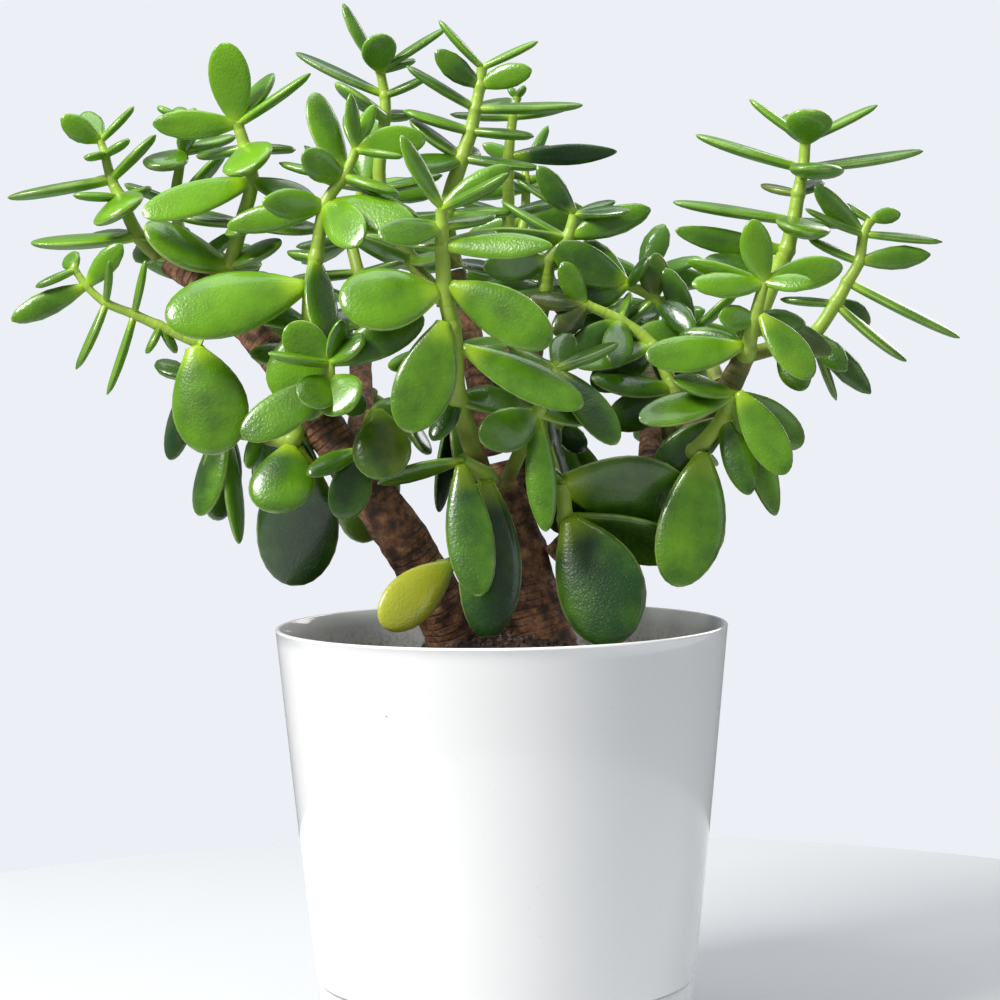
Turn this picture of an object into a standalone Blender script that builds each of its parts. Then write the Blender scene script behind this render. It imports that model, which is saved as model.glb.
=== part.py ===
"""Potted jade plant: glossy pot and saucer, potting soil, two woody trunks, branches and leafy shoots.

World units are metres, +Z is up, and the origin is the centre of the saucer's underside.
The plant tables are in millimetres: x to the right, y to the back, z up from the saucer's underside.
"""
import math

import bmesh
import bpy
from mathutils import Matrix, Vector
from mathutils.bvhtree import BVHTree

MM = 0.001
GAP = 0.3                       # mm left between touching pieces

# Pot and saucer, mm
RIM_RADIUS = 100.0
RIM_HEIGHT = 188.0
POT_WALL = 2.2
SAUCER_HEIGHT = 31.6
SAUCER_RADIUS = 83.4
SAUCER_FLOOR = 3.0
DRAIN_HOLES = 4
DRAIN_RADIUS = 5.0
DRAIN_CIRCLE = 42.0
TURN_STEPS = 36

# Soil, mm
SOIL_EDGE_HEIGHT = 160.0
SOIL_TOP_HEIGHT = 185.0

# Leaf shape: places along the blade, and the half width there as a share of the full width
LEAF_STATIONS = ((0.0, 0.14), (0.38, 0.45), (0.78, 0.44))
LEAF_THICKNESS = (0.22, 2.0)    # share of the width, plus mm
LEAF_BASE_THICKNESS = 0.62      # share of the full thickness at the leaf's foot
LEAF_BOW = 0.05                 # rise of the tip towards the upper face, as a share of the length
FRONT_TILT = 0.28               # how much a leaf with no way given also looks to the front
LEAF_FOOT = 3.0                 # from a stem's surface to the foot of a leaf that is its own piece, mm
LEAF_FREE = 0.35                # share of a leaf's foot that may touch its neighbours on the same stem
STEM_SIDES = 6
NUDGES = ((0, 0, 0), (0.2, 0.1, 0.3), (-0.3, 0.2, -0.2), (0.1, -0.4, 0.4), (0.5, 0.4, -0.5), (-0.6, -0.3, 0.6),
          (0.9, -0.5, 0.8), (-0.8, 0.9, -0.9))
WOOD_SIDES = 8
CROWN_LEAN = 0.013              # how far the crown leans to the right, mm for each mm of height
CROWN_FOOT = 240.0              # height that it leans from, mm

# Ways a leaf leans to the front or the back, in mm at its tip, until it is clear of what is already there
LEANS = (0, 5, -5, 10, -10, 15, -15, 21, -21, 28, -28)
SIZES = (1.0, 0.86, 0.72)       # and how much smaller it grows where no lean is enough

FACES = {"F": (0, -1, 0), "B": (0, 1, 0), "L": (-1, 0, 0), "R": (1, 0, 0), "U": (0, 0, 1), "D": (0, 0, -1)}

COLOURS = {
    "pot": ((0.86, 0.86, 0.85), 0.18),
    "saucer": ((0.86, 0.86, 0.85), 0.18),
    "soil": ((0.035, 0.026, 0.022), 0.95),
    "wood": ((0.16, 0.075, 0.04), 0.85),
    "branch": ((0.13, 0.13, 0.04), 0.7),
    "shoot": ((0.13, 0.30, 0.03), 0.35),
    "leaf": ((0.10, 0.26, 0.03), 0.32),
    "leaf_yellow": ((0.62, 0.60, 0.05), 0.35),
}

# Woody parts: points (x, y, z, radius), from the soil outwards
WOOD = {
    "trunk_left": [
        (-12, 4, 112, 6), (-15, 2, 145, 11), (-20, -4, 178, 13), (-28, -12, 200, 11.5), (-42, -20, 227, 10.8),
        (-60, -25, 253, 10), (-75, -25, 274, 9), (-91, -20, 298, 8), (-107, -15, 316, 7),
        (-125, -10, 334, 6), (-145, -2, 347, 5),
    ],
    "trunk_right": [
        (26, 8, 108, 7), (23, 6, 145, 12), (17, 3, 178, 16), (12, 1, 200, 13.5), (8, 0, 222, 11.5),
        (2, 0, 243, 10), (-3, 2, 258, 8.5),
    ],
    "branch_right": [
        (22, -2, 212, 8), (38, -6, 229, 7.5), (61, -10, 248, 7), (83, -15, 270, 6.5), (97, -22, 290, 5.5),
        (105, -26, 306, 4.5),
    ],
    "branch_middle": [(-4, 4, 264, 6.5), (-8, 12, 288, 6), (-14, 18, 318, 5.5), (-20, 20, 345, 4.5)],
    "branch_inner": [(6, 6, 262, 5.5), (10, 9, 285, 5), (14, 11, 305, 4.5), (17, 11, 322, 4.2)],
    "branch_back": [(8, 8, 240, 7), (12, 34, 262, 6.5), (10, 62, 292, 5.5), (4, 82, 318, 4.5)],
    "branch_back_left": [(-62, -14, 262, 6), (-62, 14, 284, 5.5), (-64, 44, 306, 5), (-62, 66, 326, 4)],
    "branch_back_right": [(66, 0, 252, 5.5), (68, 24, 270, 5), (70, 48, 292, 4.5), (70, 64, 312, 4)],
}

# Roots under each trunk: points (x, y, z, radius)
ROOTS = {
    "trunk_left": [
        [(-14, 3, 130, 6), (-34, -4, 112, 4), (-52, -10, 84, 2.5)],
        [(-13, 4, 122, 6), (-18, 26, 96, 4), (-26, 40, 66, 2.5)],
        [(-12, 3, 116, 5), (-8, -10, 90, 3.5), (-12, -24, 58, 2.5)],
    ],
    "trunk_right": [
        [(24, 7, 130, 6.5), (44, 14, 108, 4.5), (58, 18, 76, 2.5)],
        [(25, 8, 124, 6.5), (24, 30, 98, 4), (18, 48, 64, 2.5)],
        [(26, 7, 116, 6), (30, -12, 90, 4), (40, -26, 60, 2.5)],
    ],
}

# Shoots: a stem through its leaf joints. Each joint is a point and the leaves that grow there.
# A leaf is (reach x, reach y, reach z, width, way its upper face looks, name if it is a piece of its own).
# With no way given, the upper face looks along the growing stem.
SHOOTS = {
    "shoot_left_top": (3.4, 1.6, [
        ((-150, 2, 350), [(-14, 14, 4, 13), (16, 12, 6, 12)]),
        ((-159, 0, 359), [(-46, -6, -6, 17), (-26, 16, 1, 12), (24, -10, 2, 13)]),
        ((-167, 0, 376), [(2, -24, -10, 25, "UUL"), (12, 8, 4, 13), (-19, -10, 0, 11)]),
        ((-171, 1, 384), [(-45, -4, -8, 16), (21, -5, 19, 14), (-13, 18, 0, 13)]),
        ((-174, 2, 395), [(12, -8, 5, 10), (-7, -10, -2, 9)]),
        ((-176, 3, 401), [(-17, -7, 8, 12, "F"), (-10, 9, 13, 13), (15, 3, 15, 9)]),
    ]),
    "shoot_left_dangling": (2.4, 1.5, [
        ((-128, -30, 311), [(10, -12, -46, 33, "F", "leaf_left_hanging")]),
        ((-146, -30, 319), [(-4, -5, -12, 8), (6, 6, -12, 10)]),
        ((-157, -30, 324), [(-10, 0, -35, 9), (7, -9, 23, 8)]),
        ((-169, -30, 329), [(-11, -4, -29, 10), (5, -10, 18, 8)]),
        ((-177, -30, 336), [(-32, -4, -14, 12, "F"), (16, -8, 18, 11, "F")]),
        ((-182, -30, 343), [(-16, -6, -7, 9), (-4, 8, 7, 10)]),
    ]),
    "shoot_upper_left": (3.4, 2.4, [
        ((-118, -12, 345), [(-36, -8, 14, 24, "FU"), (24, -2, 10, 16), (8, 18, 4, 16)]),
        ((-112, -16, 364), [(-34, 10, 4, 15), (34, 4, -2, 16), (2, -18, -6, 16, "F")]),
        ((-107, -20, 382), [(-46, -10, -16, 17, "FFU"), (24, 14, -6, 14), (30, -8, -12, 15, "FU")]),
        ((-110, -20, 396), [(6, -24, -12, 24, "UUL"), (19, 18, 1, 13), (-24, 16, -4, 12)]),
        ((-113, -20, 406), [(-4, -9, 34, 18, "F"), (14, 12, 22, 16), (-36, -5, -2, 14, "F"), (33, -4, 20, 12)]),
    ]),
    "shoot_left_behind": (3.0, 1.6, [
        ((-138, 6, 345), [(22, -8, 14, 13), (-20, 12, 6, 13)]),
        ((-146, 25, 375), [(26, -8, 22, 13), (-24, 6, 10, 14), (6, 20, 4, 13)]),
        ((-143, 25, 398), [(-10, -16, -8, 20), (24, 8, 8, 14), (8, -14, 14, 12)]),
        ((-143, 25, 413), [(-10, -5, 5, 9), (7, -3, 4, 9), (-3, 8, 6, 9)]),
    ]),
    "shoot_left_low": (4.0, 2.6, [
        ((-82, -22, 286), [(4, 18, -30, 18), (-16, 18, -18, 16)]),
        ((-90, -32, 270), [(-3, -18, -30, 28, "F", "leaf_low_shelf"), (4, -8, -64, 36, "F", "leaf_low_dark")]),
        ((-104, -22, 272), [(-5, -14, -13, 14), (-2, 18, -20, 18)]),
        ((-122, -5, 276), [(-9, -4, -40, 20, "FL"), (-4, 12, -42, 24, "FR"), (8, -4, -52, 16)]),
        ((-138, 6, 296), [(-8, 2, -36, 17, "FL"), (-16, 10, 8, 14)]),
    ]),
    "shoot_upper_middle": (4.6, 2.0, [
        ((-80, -24, 290), []),
        ((-81, -30, 304), [(28, 10, 6, 16), (-26, 12, 4, 16)]),
        ((-81, -38, 318), [(-34, 10, 12, 18), (34, 8, 8, 17), (-9, -14, -44, 30, "F", "leaf_left_glossy")]),
        ((-80, -42, 334), [(-61, -10, -11, 31, "FFU", "leaf_left_broad")]),
        ((-78, -40, 348), [(5, -14, -36, 18, "FR"), (-12, 14, 2, 14)]),
        ((-74, -40, 370), [(-26, -12, 0, 15, "F"), (-42, 2, -9, 13, "F"), (39, -12, -9, 18, "FFU"),
                           (18, -14, -17, 18, "F")]),
        ((-66, -40, 382), [(-18, -10, 7, 15, "F"), (-16, 6, 35, 17, "FR"), (-29, 6, 5, 10), (23, -8, -8, 13),
                           (31, 8, -17, 12)]),
        ((-61, -40, 393), [(-2, -7, 23, 9, "FR"), (6, 7, 21, 8), (-6, 9, 17, 8), (29, 3, 7, 15, "F"),
                           (21, -10, -4, 9)]),
    ]),
    "shoot_rosette": (3.2, 2.2, [
        ((-74, -28, 284), []),
        ((-71, -46, 290), [(-16, 12, -8, 16), (14, 12, -6, 14)]),
        ((-71, -62, 296), [(-34, -8, -26, 19, "FFL"), (10, -14, -13, 21, "F"), (-9, -14, -11, 17, "F")]),
        ((-71, -62, 303), [(-18, -4, 15, 17, "F"), (-24, -10, 2, 12), (6, -6, 18, 10, "FR"), (16, -6, 10, 14, "FU"),
                           (40, 4, 17, 17, "FFL"), (4, 12, 14, 12)]),
    ]),
    "shoot_low_middle": (3.2, 2.4, [
        ((-58, -25, 256), []),
        ((-60, -40, 266), [(-6, 10, -30, 18, "F"), (-22, -10, -9, 12)]),
        ((-54, -46, 282), [(6, -14, -28, 25, "F", "leaf_low_bright"), (14, 8, 4, 14)]),
    ]),
    "shoot_centre": (4.6, 2.4, [
        ((-8, -22, 256), []),
        ((-18, -52, 288), [(-24, 14, -6, 16), (-10, -8, -18, 12), (26, 12, -2, 17)]),
        ((-19, -60, 308), [(52, -8, -26, 18, "FFU", "leaf_centre_right"), (-28, 16, -6, 18), (22, 22, 4, 16)]),
        ((-20, -62, 318), [(-16, -14, -44, 25, "F", "leaf_centre_front")]),
        ((-23, -65, 333), [(-43, -8, -7, 30, "FFU", "leaf_centre_left"), (45, -14, -20, 22, "F", "leaf_centre_broad")]),
        ((-24, -67, 351), [(46, -8, -1, 14, "FFU"), (-20, 20, 4, 15), (22, 18, 6, 14)]),
        ((-24, -69, 359), [(-25, -10, -6, 15, "FFU"), (22, 14, 5, 12)]),
        ((-24, -70, 366), [(-19, -6, 28, 10, "FR"), (28, 2, 18, 12, "F"), (28, -9, 13, 9), (-10, 10, 16, 8)]),
    ]),
    "shoot_centre_low": (3.4, 3.0, [
        ((0, -8, 248), []),
        ((-6, -42, 256), [(5, -16, -68, 27, "F", "leaf_low_front")]),
        ((-16, -54, 262), [(5, -20, -56, 20, "F", "leaf_low_narrow"), (-36, -4, -8, 11, "FD")]),
    ]),
    "shoot_inner_front": (3.4, 2.4, [
        ((2, -12, 250), []),
        ((16, -50, 282), [(-23, -14, -14, 19, "F"), (1, -8, -50, 14, "F"), (26, 10, 2, 18), (-14, 18, 6, 16)]),
        ((24, -44, 300), [(27, -8, -30, 17, "FU"), (-24, 2, 12, 15), (26, 8, 10, 15), (4, 16, 16, 14)]),
    ]),
    "spur_yellow": (2.6, 2.2, [
        ((-34, -14, 213), []),
        ((-21, -32, 218), [(-31, -16, -25, 22, "F", "leaf_yellow")]),
    ]),
    "shoot_right_low": (4.0, 3.0, [
        ((30, -6, 222), []),
        ((28, -30, 236), [(27, -22, -50, 38, "F", "leaf_low_right"), (54, -2, -16, 28, "FD")]),
        ((27, -34, 252), [(56, 6, -4, 36, "FFD"), (-12, -10, 12, 14), (30, 30, -14, 26), (8, 24, -30, 24, "F")]),
    ]),
    "shoot_right_cluster": (4.2, 3.0, [
        ((82, -15, 268), []),
        ((84, -28, 266), [(-5, -14, -59, 29, "F", "leaf_right_hanging"), (7, -22, -15, 18, "F")]),
        ((96, -30, 280), [(12, -12, -32, 15, "F"), (-26, 12, -24, 18, "F"), (10, 14, -30, 16)]),
        ((99, -34, 290), [(-40, -12, -12, 18, "FU"), (23, -10, -34, 17, "F", "leaf_right_long"),
                          (32, 10, -22, 18, "F"), (24, 4, -50, 14, "F"), (-30, 10, 6, 17)]),
    ]),
    "shoot_right_front": (4.0, 2.2, [
        ((105, -26, 304), []),
        ((106, -35, 310), [(-44, -8, -8, 18, "FFU", "leaf_right_shelf"), (-28, 8, 6, 12, "F")]),
        ((108, -40, 322), [(24, -12, -25, 17, "FFR", "leaf_right_bright"), (22, 6, -3, 13, "FFU"), (-16, -6, 0, 12, "F"), (34, 10, -14, 14, "F"), (-4, 18, -8, 14)]),
        ((112, -40, 337), [(-8, -6, 26, 15, "F"), (-31, -8, -3, 14, "FFU"), (20, -8, -1, 10, "FFU"),
                           (34, 4, 7, 15, "F"), (-32, 8, 8, 11, "FD")]),
    ]),
    "shoot_right_top": (4.2, 2.4, [
        ((110, -14, 318), []),
        ((124, 12, 346), [(-34, -6, 2, 14, "FU"), (26, 8, -4, 14)]),
        ((128, 15, 354), [(-50, 4, 5, 12, "F"), (-4, 20, 2, 12)]),
        ((131, 15, 367), [(4, -26, -9, 25), (-54, 0, 9, 14), (28, 4, -3, 9)]),
        ((133, 15, 379), [(-15, 14, 4, 10), (12, 16, 6, 10)]),
        ((135, 15, 390), [(9, -22, -4, 26), (-48, 0, 14, 14), (53, 0, 5, 13)]),
        ((136, 15, 402), [(2, -16, 12, 21), (-25, 2, 19, 9), (32, 2, 16, 9), (-6, 12, 12, 16)]),
    ]),
    "shoot_right_side": (3.6, 2.0, [
        ((104, -18, 306), []),
        ((124, -6, 311), [(-10, 6, 18, 13, "F"), (8, -10, -20, 15, "F"), (14, 14, 4, 13)]),
        ((138, 0, 316), [(13, -12, -16, 13, "F"), (26, 0, -26, 13, "F"), (12, 12, -29, 10)]),
        ((148, 0, 330), [(29, 0, -28, 12), (18, 10, -8, 12, "F"), (-24, 6, 2, 10)]),
        ((153, 0, 339), [(49, -4, -25, 12)]),
        ((158, 0, 348), [(31, -4, 2, 12, "F"), (-22, 0, 10, 10), (-40, 10, 15, 13, "F")]),
        ((160, 0, 360), [(34, -4, -3, 9), (-24, -4, 19, 11, "F"), (-27, 6, 8, 8)]),
        ((163, 0, 366), [(-11, 4, 8, 8), (13, 2, 4, 8, "F")]),
    ]),
    "shoot_inner_right": (3.6, 2.2, [
        ((96, -18, 292), []),
        ((92, -8, 304), [(-26, -8, 6, 15), (20, 8, 12, 14), (-10, 16, -14, 15)]),
        ((86, 6, 318), [(-12, 2, 28, 12, "F"), (20, -6, 16, 13), (-30, -4, -4, 15, "F")]),
        ((69, 10, 332), [(-2, -4, 20, 15, "F"), (-20, 12, -16, 15), (18, -8, -14, 14, "F")]),
        ((57, 10, 338), [(-34, -6, 14, 18, "F"), (-20, 8, 20, 13, "F"), (8, -10, 12, 12), (-28, -4, -10, 15, "F")]),
    ]),
    "shoot_inner_dark": (3.4, 2.2, [
        ((84, -12, 276), []),
        ((76, -8, 292), [(-36, -8, 2, 16, "FU"), (-26, 10, -18, 18, "F"), (12, 12, -16, 15)]),
        ((67, -2, 311), [(-34, -8, -10, 16, "FU"), (-24, 10, -20, 17, "F"), (14, -8, -18, 15, "F")]),
        ((53, 0, 322), [(-26, -8, -18, 15, "F"), (-4, -10, -20, 15, "F"), (4, 14, 10, 13)]),
        ((38, 0, 329), [(-26, -6, 2, 13, "FU"), (-12, 8, 18, 12, "F"), (-14, -8, -14, 13, "F")]),
    ]),
    "shoot_upper_right": (4.0, 2.4, [
        ((17, 11, 322), [(30, -6, 6, 15), (-26, 6, 8, 14)]),
        ((20, 11, 336), [(28, -8, -14, 17, "F"), (-26, -6, 2, 15, "FU"), (8, 20, 4, 14)]),
        ((22, 10, 349), [(-30, -6, -6, 15, "F"), (22, 12, -4, 14), (34, -6, -10, 16, "FU")]),
        ((30, 10, 359), [(-48, -10, 0, 15, "FD"), (37, -2, 12, 14, "F"), (-31, 8, 15, 9)]),
        ((33, 10, 369), [(-18, -4, 20, 13, "F"), (18, 8, 6, 8), (25, -8, 1, 8, "FU"), (-26, 4, 17, 7)]),
    ]),
    "shoot_top_behind": (3.6, 1.8, [
        ((10, 62, 292), []),
        ((4, 56, 345), [(-24, 8, 6, 14), (28, 6, 4, 14), (4, 22, 8, 13)]),
        ((4, 56, 372), [(-26, -6, 6, 14), (26, 10, 8, 13)]),
        ((4, 55, 399), [(50, -8, -1, 11, "F"), (21, 12, 4, 9)]),
        ((6, 55, 417), [(27, 4, 4, 10), (-29, 6, 1, 9)]),
        ((8, 55, 426), [(4, -3, 5, 6), (-4, 3, 5, 6)]),
    ]),
    "shoot_top": (4.0, 2.2, [
        ((-20, 20, 345), []),
        ((-24, 20, 370), [(-30, 6, -4, 15), (30, 4, 2, 14), (2, -20, -8, 15)]),
        ((-17, 20, 395), [(-24, 4, 17, 15), (35, -4, -5, 13), (4, 20, 6, 13), (-24, -12, -6, 15, "FU")]),
        ((-13, 20, 407), [(-30, -4, 9, 13), (28, -6, -3, 13)]),
        ((-11, 20, 417), [(-31, -4, 18, 12), (48, -2, -1, 14), (17, 18, 5, 12)]),
        ((-9, 20, 427), [(-21, -6, 13, 12, "F"), (23, -6, 8, 12, "F")]),
        ((-8, 20, 435), [(-20, -4, 20, 9), (25, 0, 12, 8)]),
    ]),
    "shoot_top_left": (3.8, 2.0, [
        ((-14, 18, 318), []),
        ((-40, 28, 350), [(-24, -8, 8, 16), (14, 16, 2, 15), (22, -12, 0, 15)]),
        ((-54, 30, 382), [(-30, 6, 6, 15), (28, 4, 6, 14), (4, -20, -6, 16, "FU")]),
        ((-52, 30, 414), [(-21, -14, 13, 21), (12, 16, 4, 14)]),
        ((-52, 30, 424), [(-42, 10, 20, 11), (21, -4, 7, 10)]),
        ((-54, 30, 435), [(1, -14, 15, 17), (-20, 4, 29, 9), (29, 4, 20, 9), (14, 14, 7, 10)]),
    ]),
}

# Shoots at the back of the crown: (shoot that they grow like, turn about the upright axis, root, size)
BACK_SHOOTS = {
    "shoot_back_left": ("shoot_upper_left", 165, (-62, 66, 328), 0.95),
    "shoot_back_left_low": ("shoot_left_low", 205, (-60, 30, 292), 0.90),
    "shoot_back_middle": ("shoot_centre", 185, (4, 84, 320), 0.72),
    "shoot_back_middle_low": ("shoot_left_low", 120, (16, 52, 288), 0.90),
    "shoot_back_right": ("shoot_right_front", 160, (70, 66, 314), 0.95),
    "shoot_back_right_low": ("shoot_right_cluster", 120, (76, 26, 272), 0.90),
    "shoot_back_far_left": ("shoot_rosette", 200, (-112, 4, 322), 1.0),
}


def material_for(name):
    """A Principled material in the piece's own colour and roughness."""
    key = name if name in COLOURS else name.split("_")[0]
    key = {"trunk": "wood", "spur": "shoot"}.get(key, key)
    colour, roughness = COLOURS[key]
    material = bpy.data.materials.new(name)
    material.use_nodes = True
    shader = material.node_tree.nodes["Principled BSDF"]
    shader.inputs["Base Color"].default_value = (*colour, 1.0)
    shader.inputs["Roughness"].default_value = roughness
    shader.inputs["Metallic"].default_value = 0.0
    return material


def add_object(name, mesh, collection):
    """Put a mesh into a collection as a smooth-shaded object with its own material."""
    thing = bpy.data.objects.new(name, mesh)
    collection.objects.link(thing)
    if not mesh.materials:
        mesh.materials.append(material_for(name))
    mesh.shade_smooth()
    mesh.set_sharp_from_angle(angle=math.radians(40))
    return thing


def make_cutter(thing):
    """Mark an object as a cutter that is not part of the plant."""
    thing.hide_render = True
    thing.display_type = "WIRE"
    return thing


def turned(name, profile, collection):
    """A turned piece from (radius, height) points that run from the axis over the outside and back."""
    mesh = bpy.data.meshes.new(name)
    points = [(radius * MM, 0.0, height * MM) for radius, height in profile]
    mesh.from_pydata(points, [(i, i + 1) for i in range(len(points) - 1)], [])
    thing = bpy.data.objects.new(name, mesh)
    mesh.materials.append(material_for(name))
    collection.objects.link(thing)
    screw = thing.modifiers.new("Turn", "SCREW")
    screw.steps = TURN_STEPS
    screw.render_steps = TURN_STEPS
    screw.use_merge_vertices = True
    screw.merge_threshold = 0.00001
    screw.use_normal_calculate = False
    return thing


def pot_outside_radius(height):
    """The pot's outer radius at a height: a near straight taper, a little rounder low down."""
    drop = (RIM_HEIGHT - height) / RIM_HEIGHT
    return RIM_RADIUS - 18.0 * drop - 1.6 * drop ** 4


def build_pot(parts, cutters):
    """The pot: rounded lip, tapering wall, a stepped-in foot that stands in the saucer, and drain holes."""
    foot_top = SAUCER_HEIGHT + 1.0
    foot_radius = SAUCER_RADIUS - 3.4
    base = SAUCER_FLOOR + GAP
    outside = [(pot_outside_radius(height), height) for height in (184.6, 150, 110, 70, 48, foot_top + 0.8)]
    inside = [(pot_outside_radius(height) - POT_WALL, height) for height in (48, 70, 110, 150, 184.6)]
    lip = pot_outside_radius(RIM_HEIGHT)
    profile = [
        (0.0, base + POT_WALL + 0.6),
        (foot_radius - 8.0, base + POT_WALL + 0.6),
        (foot_radius - 3.4, base + 6.0),
        *inside,
        (lip - POT_WALL + 0.3, RIM_HEIGHT - 0.7),
        (lip - 1.1, RIM_HEIGHT),
        (lip - 0.1, RIM_HEIGHT - 0.7),
        *outside,
        (pot_outside_radius(foot_top) - 0.8, foot_top),
        (foot_radius, foot_top - 0.2),
        (foot_radius - 1.2, base + 4.0),
        (foot_radius - 5.0, base),
        (0.0, base),
    ]
    pot = turned("pot", profile, parts)
    for index in range(DRAIN_HOLES):
        angle = math.radians(45 + 360 * index / DRAIN_HOLES)
        bpy.ops.mesh.primitive_cylinder_add(vertices=8, radius=DRAIN_RADIUS * MM, depth=20 * MM)
        hole = bpy.context.object
        hole.name = f"drain_cutter_{index}"
        hole.location = (DRAIN_CIRCLE * MM * math.cos(angle), DRAIN_CIRCLE * MM * math.sin(angle), base * MM)
        bpy.context.collection.objects.unlink(hole)
        cutters.objects.link(make_cutter(hole))
        cut = pot.modifiers.new(f"Drain {index}", "BOOLEAN")
        cut.operation = "DIFFERENCE"
        cut.object = hole
    return pot


def build_saucer(parts):
    """The saucer: a shallow dish, flush with the pot above it, with a rounded lower edge."""
    top = SAUCER_HEIGHT
    profile = [
        (0.0, SAUCER_FLOOR),
        (SAUCER_RADIUS - 8.0, SAUCER_FLOOR),
        (SAUCER_RADIUS - 4.0, SAUCER_FLOOR + 3.0),
        (SAUCER_RADIUS - 2.4, top - 0.5),
        (SAUCER_RADIUS - 1.9, top),
        (SAUCER_RADIUS - 0.5, top),
        (SAUCER_RADIUS, top - 0.6),
        (SAUCER_RADIUS - 1.6, 12.0),
        (SAUCER_RADIUS - 3.0, 4.0),
        (SAUCER_RADIUS - 5.4, 0.9),
        (SAUCER_RADIUS - 8.5, 0.0),
        (0.0, 0.0),
    ]
    return turned("saucer", profile, parts)


def build_soil(parts, cutters):
    """Potting soil that fills the pot and mounds up to the trunks, with pockets for the wood and roots."""
    base = SAUCER_FLOOR + GAP + POT_WALL + 0.6 + GAP
    clear = POT_WALL + GAP + 0.4
    sides = [(pot_outside_radius(height) - clear, height) for height in (SOIL_EDGE_HEIGHT, 110, 70, 48)]
    profile = [
        (0.0, SOIL_TOP_HEIGHT),
        (20.0, SOIL_TOP_HEIGHT - 5.0),
        (36.0, SOIL_TOP_HEIGHT - 10.0),
        (52.0, SOIL_EDGE_HEIGHT + 9.0),
        (68.0, SOIL_EDGE_HEIGHT + 4.0),
        *sides,
        (SAUCER_RADIUS - 8.0, base + 6.0),
        (SAUCER_RADIUS - 13.0, base),
        (0.0, base),
    ]
    soil = turned("soil", profile, parts)
    for name, roots in ROOTS.items():
        buried = [point for point in WOOD[name] if point[2] < SOIL_TOP_HEIGHT + 20]
        for index, points in enumerate([buried] + roots):
            pocket = bpy.data.objects.new(f"pocket_{name}_{index}", tube_mesh(widened(points), WOOD_SIDES))
            cutters.objects.link(make_cutter(pocket))
            cut = soil.modifiers.new(pocket.name, "BOOLEAN")
            cut.operation = "DIFFERENCE"
            cut.object = pocket
    return soil


def widened(points):
    """A tube's points with room round it and past its buried end."""
    room = 2 * GAP
    last = min(points, key=lambda point: point[2])
    other = sorted(points, key=lambda point: point[2])[1]
    way = (Vector(last[:3]) - Vector(other[:3])).normalized() * room
    wider = []
    for x, y, z, radius in points:
        push = way if (x, y, z, radius) == last else Vector()
        wider.append((x + push.x, y + push.y, z + push.z, radius + room))
    return wider


def tube_mesh(points, sides):
    """A closed tube through (x, y, z, radius) points in mm, as a mesh in metres."""
    curve = bpy.data.curves.new("tube", "CURVE")
    curve.dimensions = "3D"
    curve.use_fill_caps = True
    curve.bevel_depth = MM
    curve.bevel_resolution = (sides - 4) // 2
    spline = curve.splines.new("POLY")
    spline.points.add(len(points) - 1)
    for target, (x, y, z, radius) in zip(spline.points, points):
        target.co = (x * MM, y * MM, z * MM, 1.0)
        target.radius = radius
    holder = bpy.data.objects.new("tube", curve)
    bpy.context.scene.collection.objects.link(holder)
    evaluated = holder.evaluated_get(bpy.context.evaluated_depsgraph_get())
    mesh = bpy.data.meshes.new_from_object(evaluated)
    bpy.data.objects.remove(holder)
    bpy.data.curves.remove(curve)
    work = bmesh.new()
    work.from_mesh(mesh)
    bmesh.ops.remove_doubles(work, verts=work.verts, dist=0.00001)
    bmesh.ops.recalc_face_normals(work, faces=work.faces)
    work.to_mesh(mesh)
    work.free()
    return mesh


def leaf_axes(reach, face, growth):
    """The leaf's own directions: along the blade, across it, and out of its upper face."""
    along = Vector(reach).normalized()
    look = Vector(face or growth + Vector(FACES["F"]) * FRONT_TILT)
    up = look - along * look.dot(along)
    if up.length < 0.15:
        up = Vector((0, -1, 0.3)) - along * Vector((0, -1, 0.3)).dot(along)
    up.normalize()
    return along, along.cross(up), up


def leaf_mesh(base, reach, width, face, growth, room=0.0):
    """One thick leaf in mm: rings of four points from its foot to its tip, with some room all round."""
    length = Vector(reach).length
    along, across, up = leaf_axes(reach, face, growth)
    thick = width * LEAF_THICKNESS[0] + LEAF_THICKNESS[1]
    work = bmesh.new()
    rings = []
    for place, half in LEAF_STATIONS:
        rise = LEAF_BOW * length * place ** 2
        middle = Vector(base) + along * (length * place) + up * rise
        depth = thick * (LEAF_BASE_THICKNESS + (1 - LEAF_BASE_THICKNESS) * min(1.0, place * 3)) / 2 + room
        side = max(half * width + room, depth)
        corners = (across * side, up * depth, across * -side, up * -depth)
        rings.append([work.verts.new((middle + corner) * MM) for corner in corners])
    tip = work.verts.new((Vector(base) + along * (length + room) + up * (LEAF_BOW * length)) * MM)
    work.faces.new(rings[0])
    for low, high in zip(rings, rings[1:]):
        for index in range(4):
            following = (index + 1) % 4
            work.faces.new((low[index], high[index], high[following], low[following]))
    for index in range(4):
        work.faces.new((rings[-1][index], tip, rings[-1][(index + 1) % 4]))
    bmesh.ops.recalc_face_normals(work, faces=work.faces)
    mesh = bpy.data.meshes.new("leaf")
    work.to_mesh(mesh)
    work.free()
    return mesh


def tree_of(mesh):
    """A search tree over a mesh's triangles."""
    work = bmesh.new()
    work.from_mesh(mesh)
    bmesh.ops.triangulate(work, faces=work.faces)
    tree = BVHTree.FromBMesh(work)
    work.free()
    return tree


def hits(tree, others):
    """Whether a mesh's tree crosses any of the others."""
    return any(tree.overlap(other) for other in others)


def leaned(point):
    """A crown point after the crown's slight lean."""
    x, y, z = point[:3]
    if z <= CROWN_FOOT:
        return tuple(point)
    return (x + CROWN_LEAN * (z - CROWN_FOOT), y, z - CROWN_LEAN * x, *point[3:])


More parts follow.
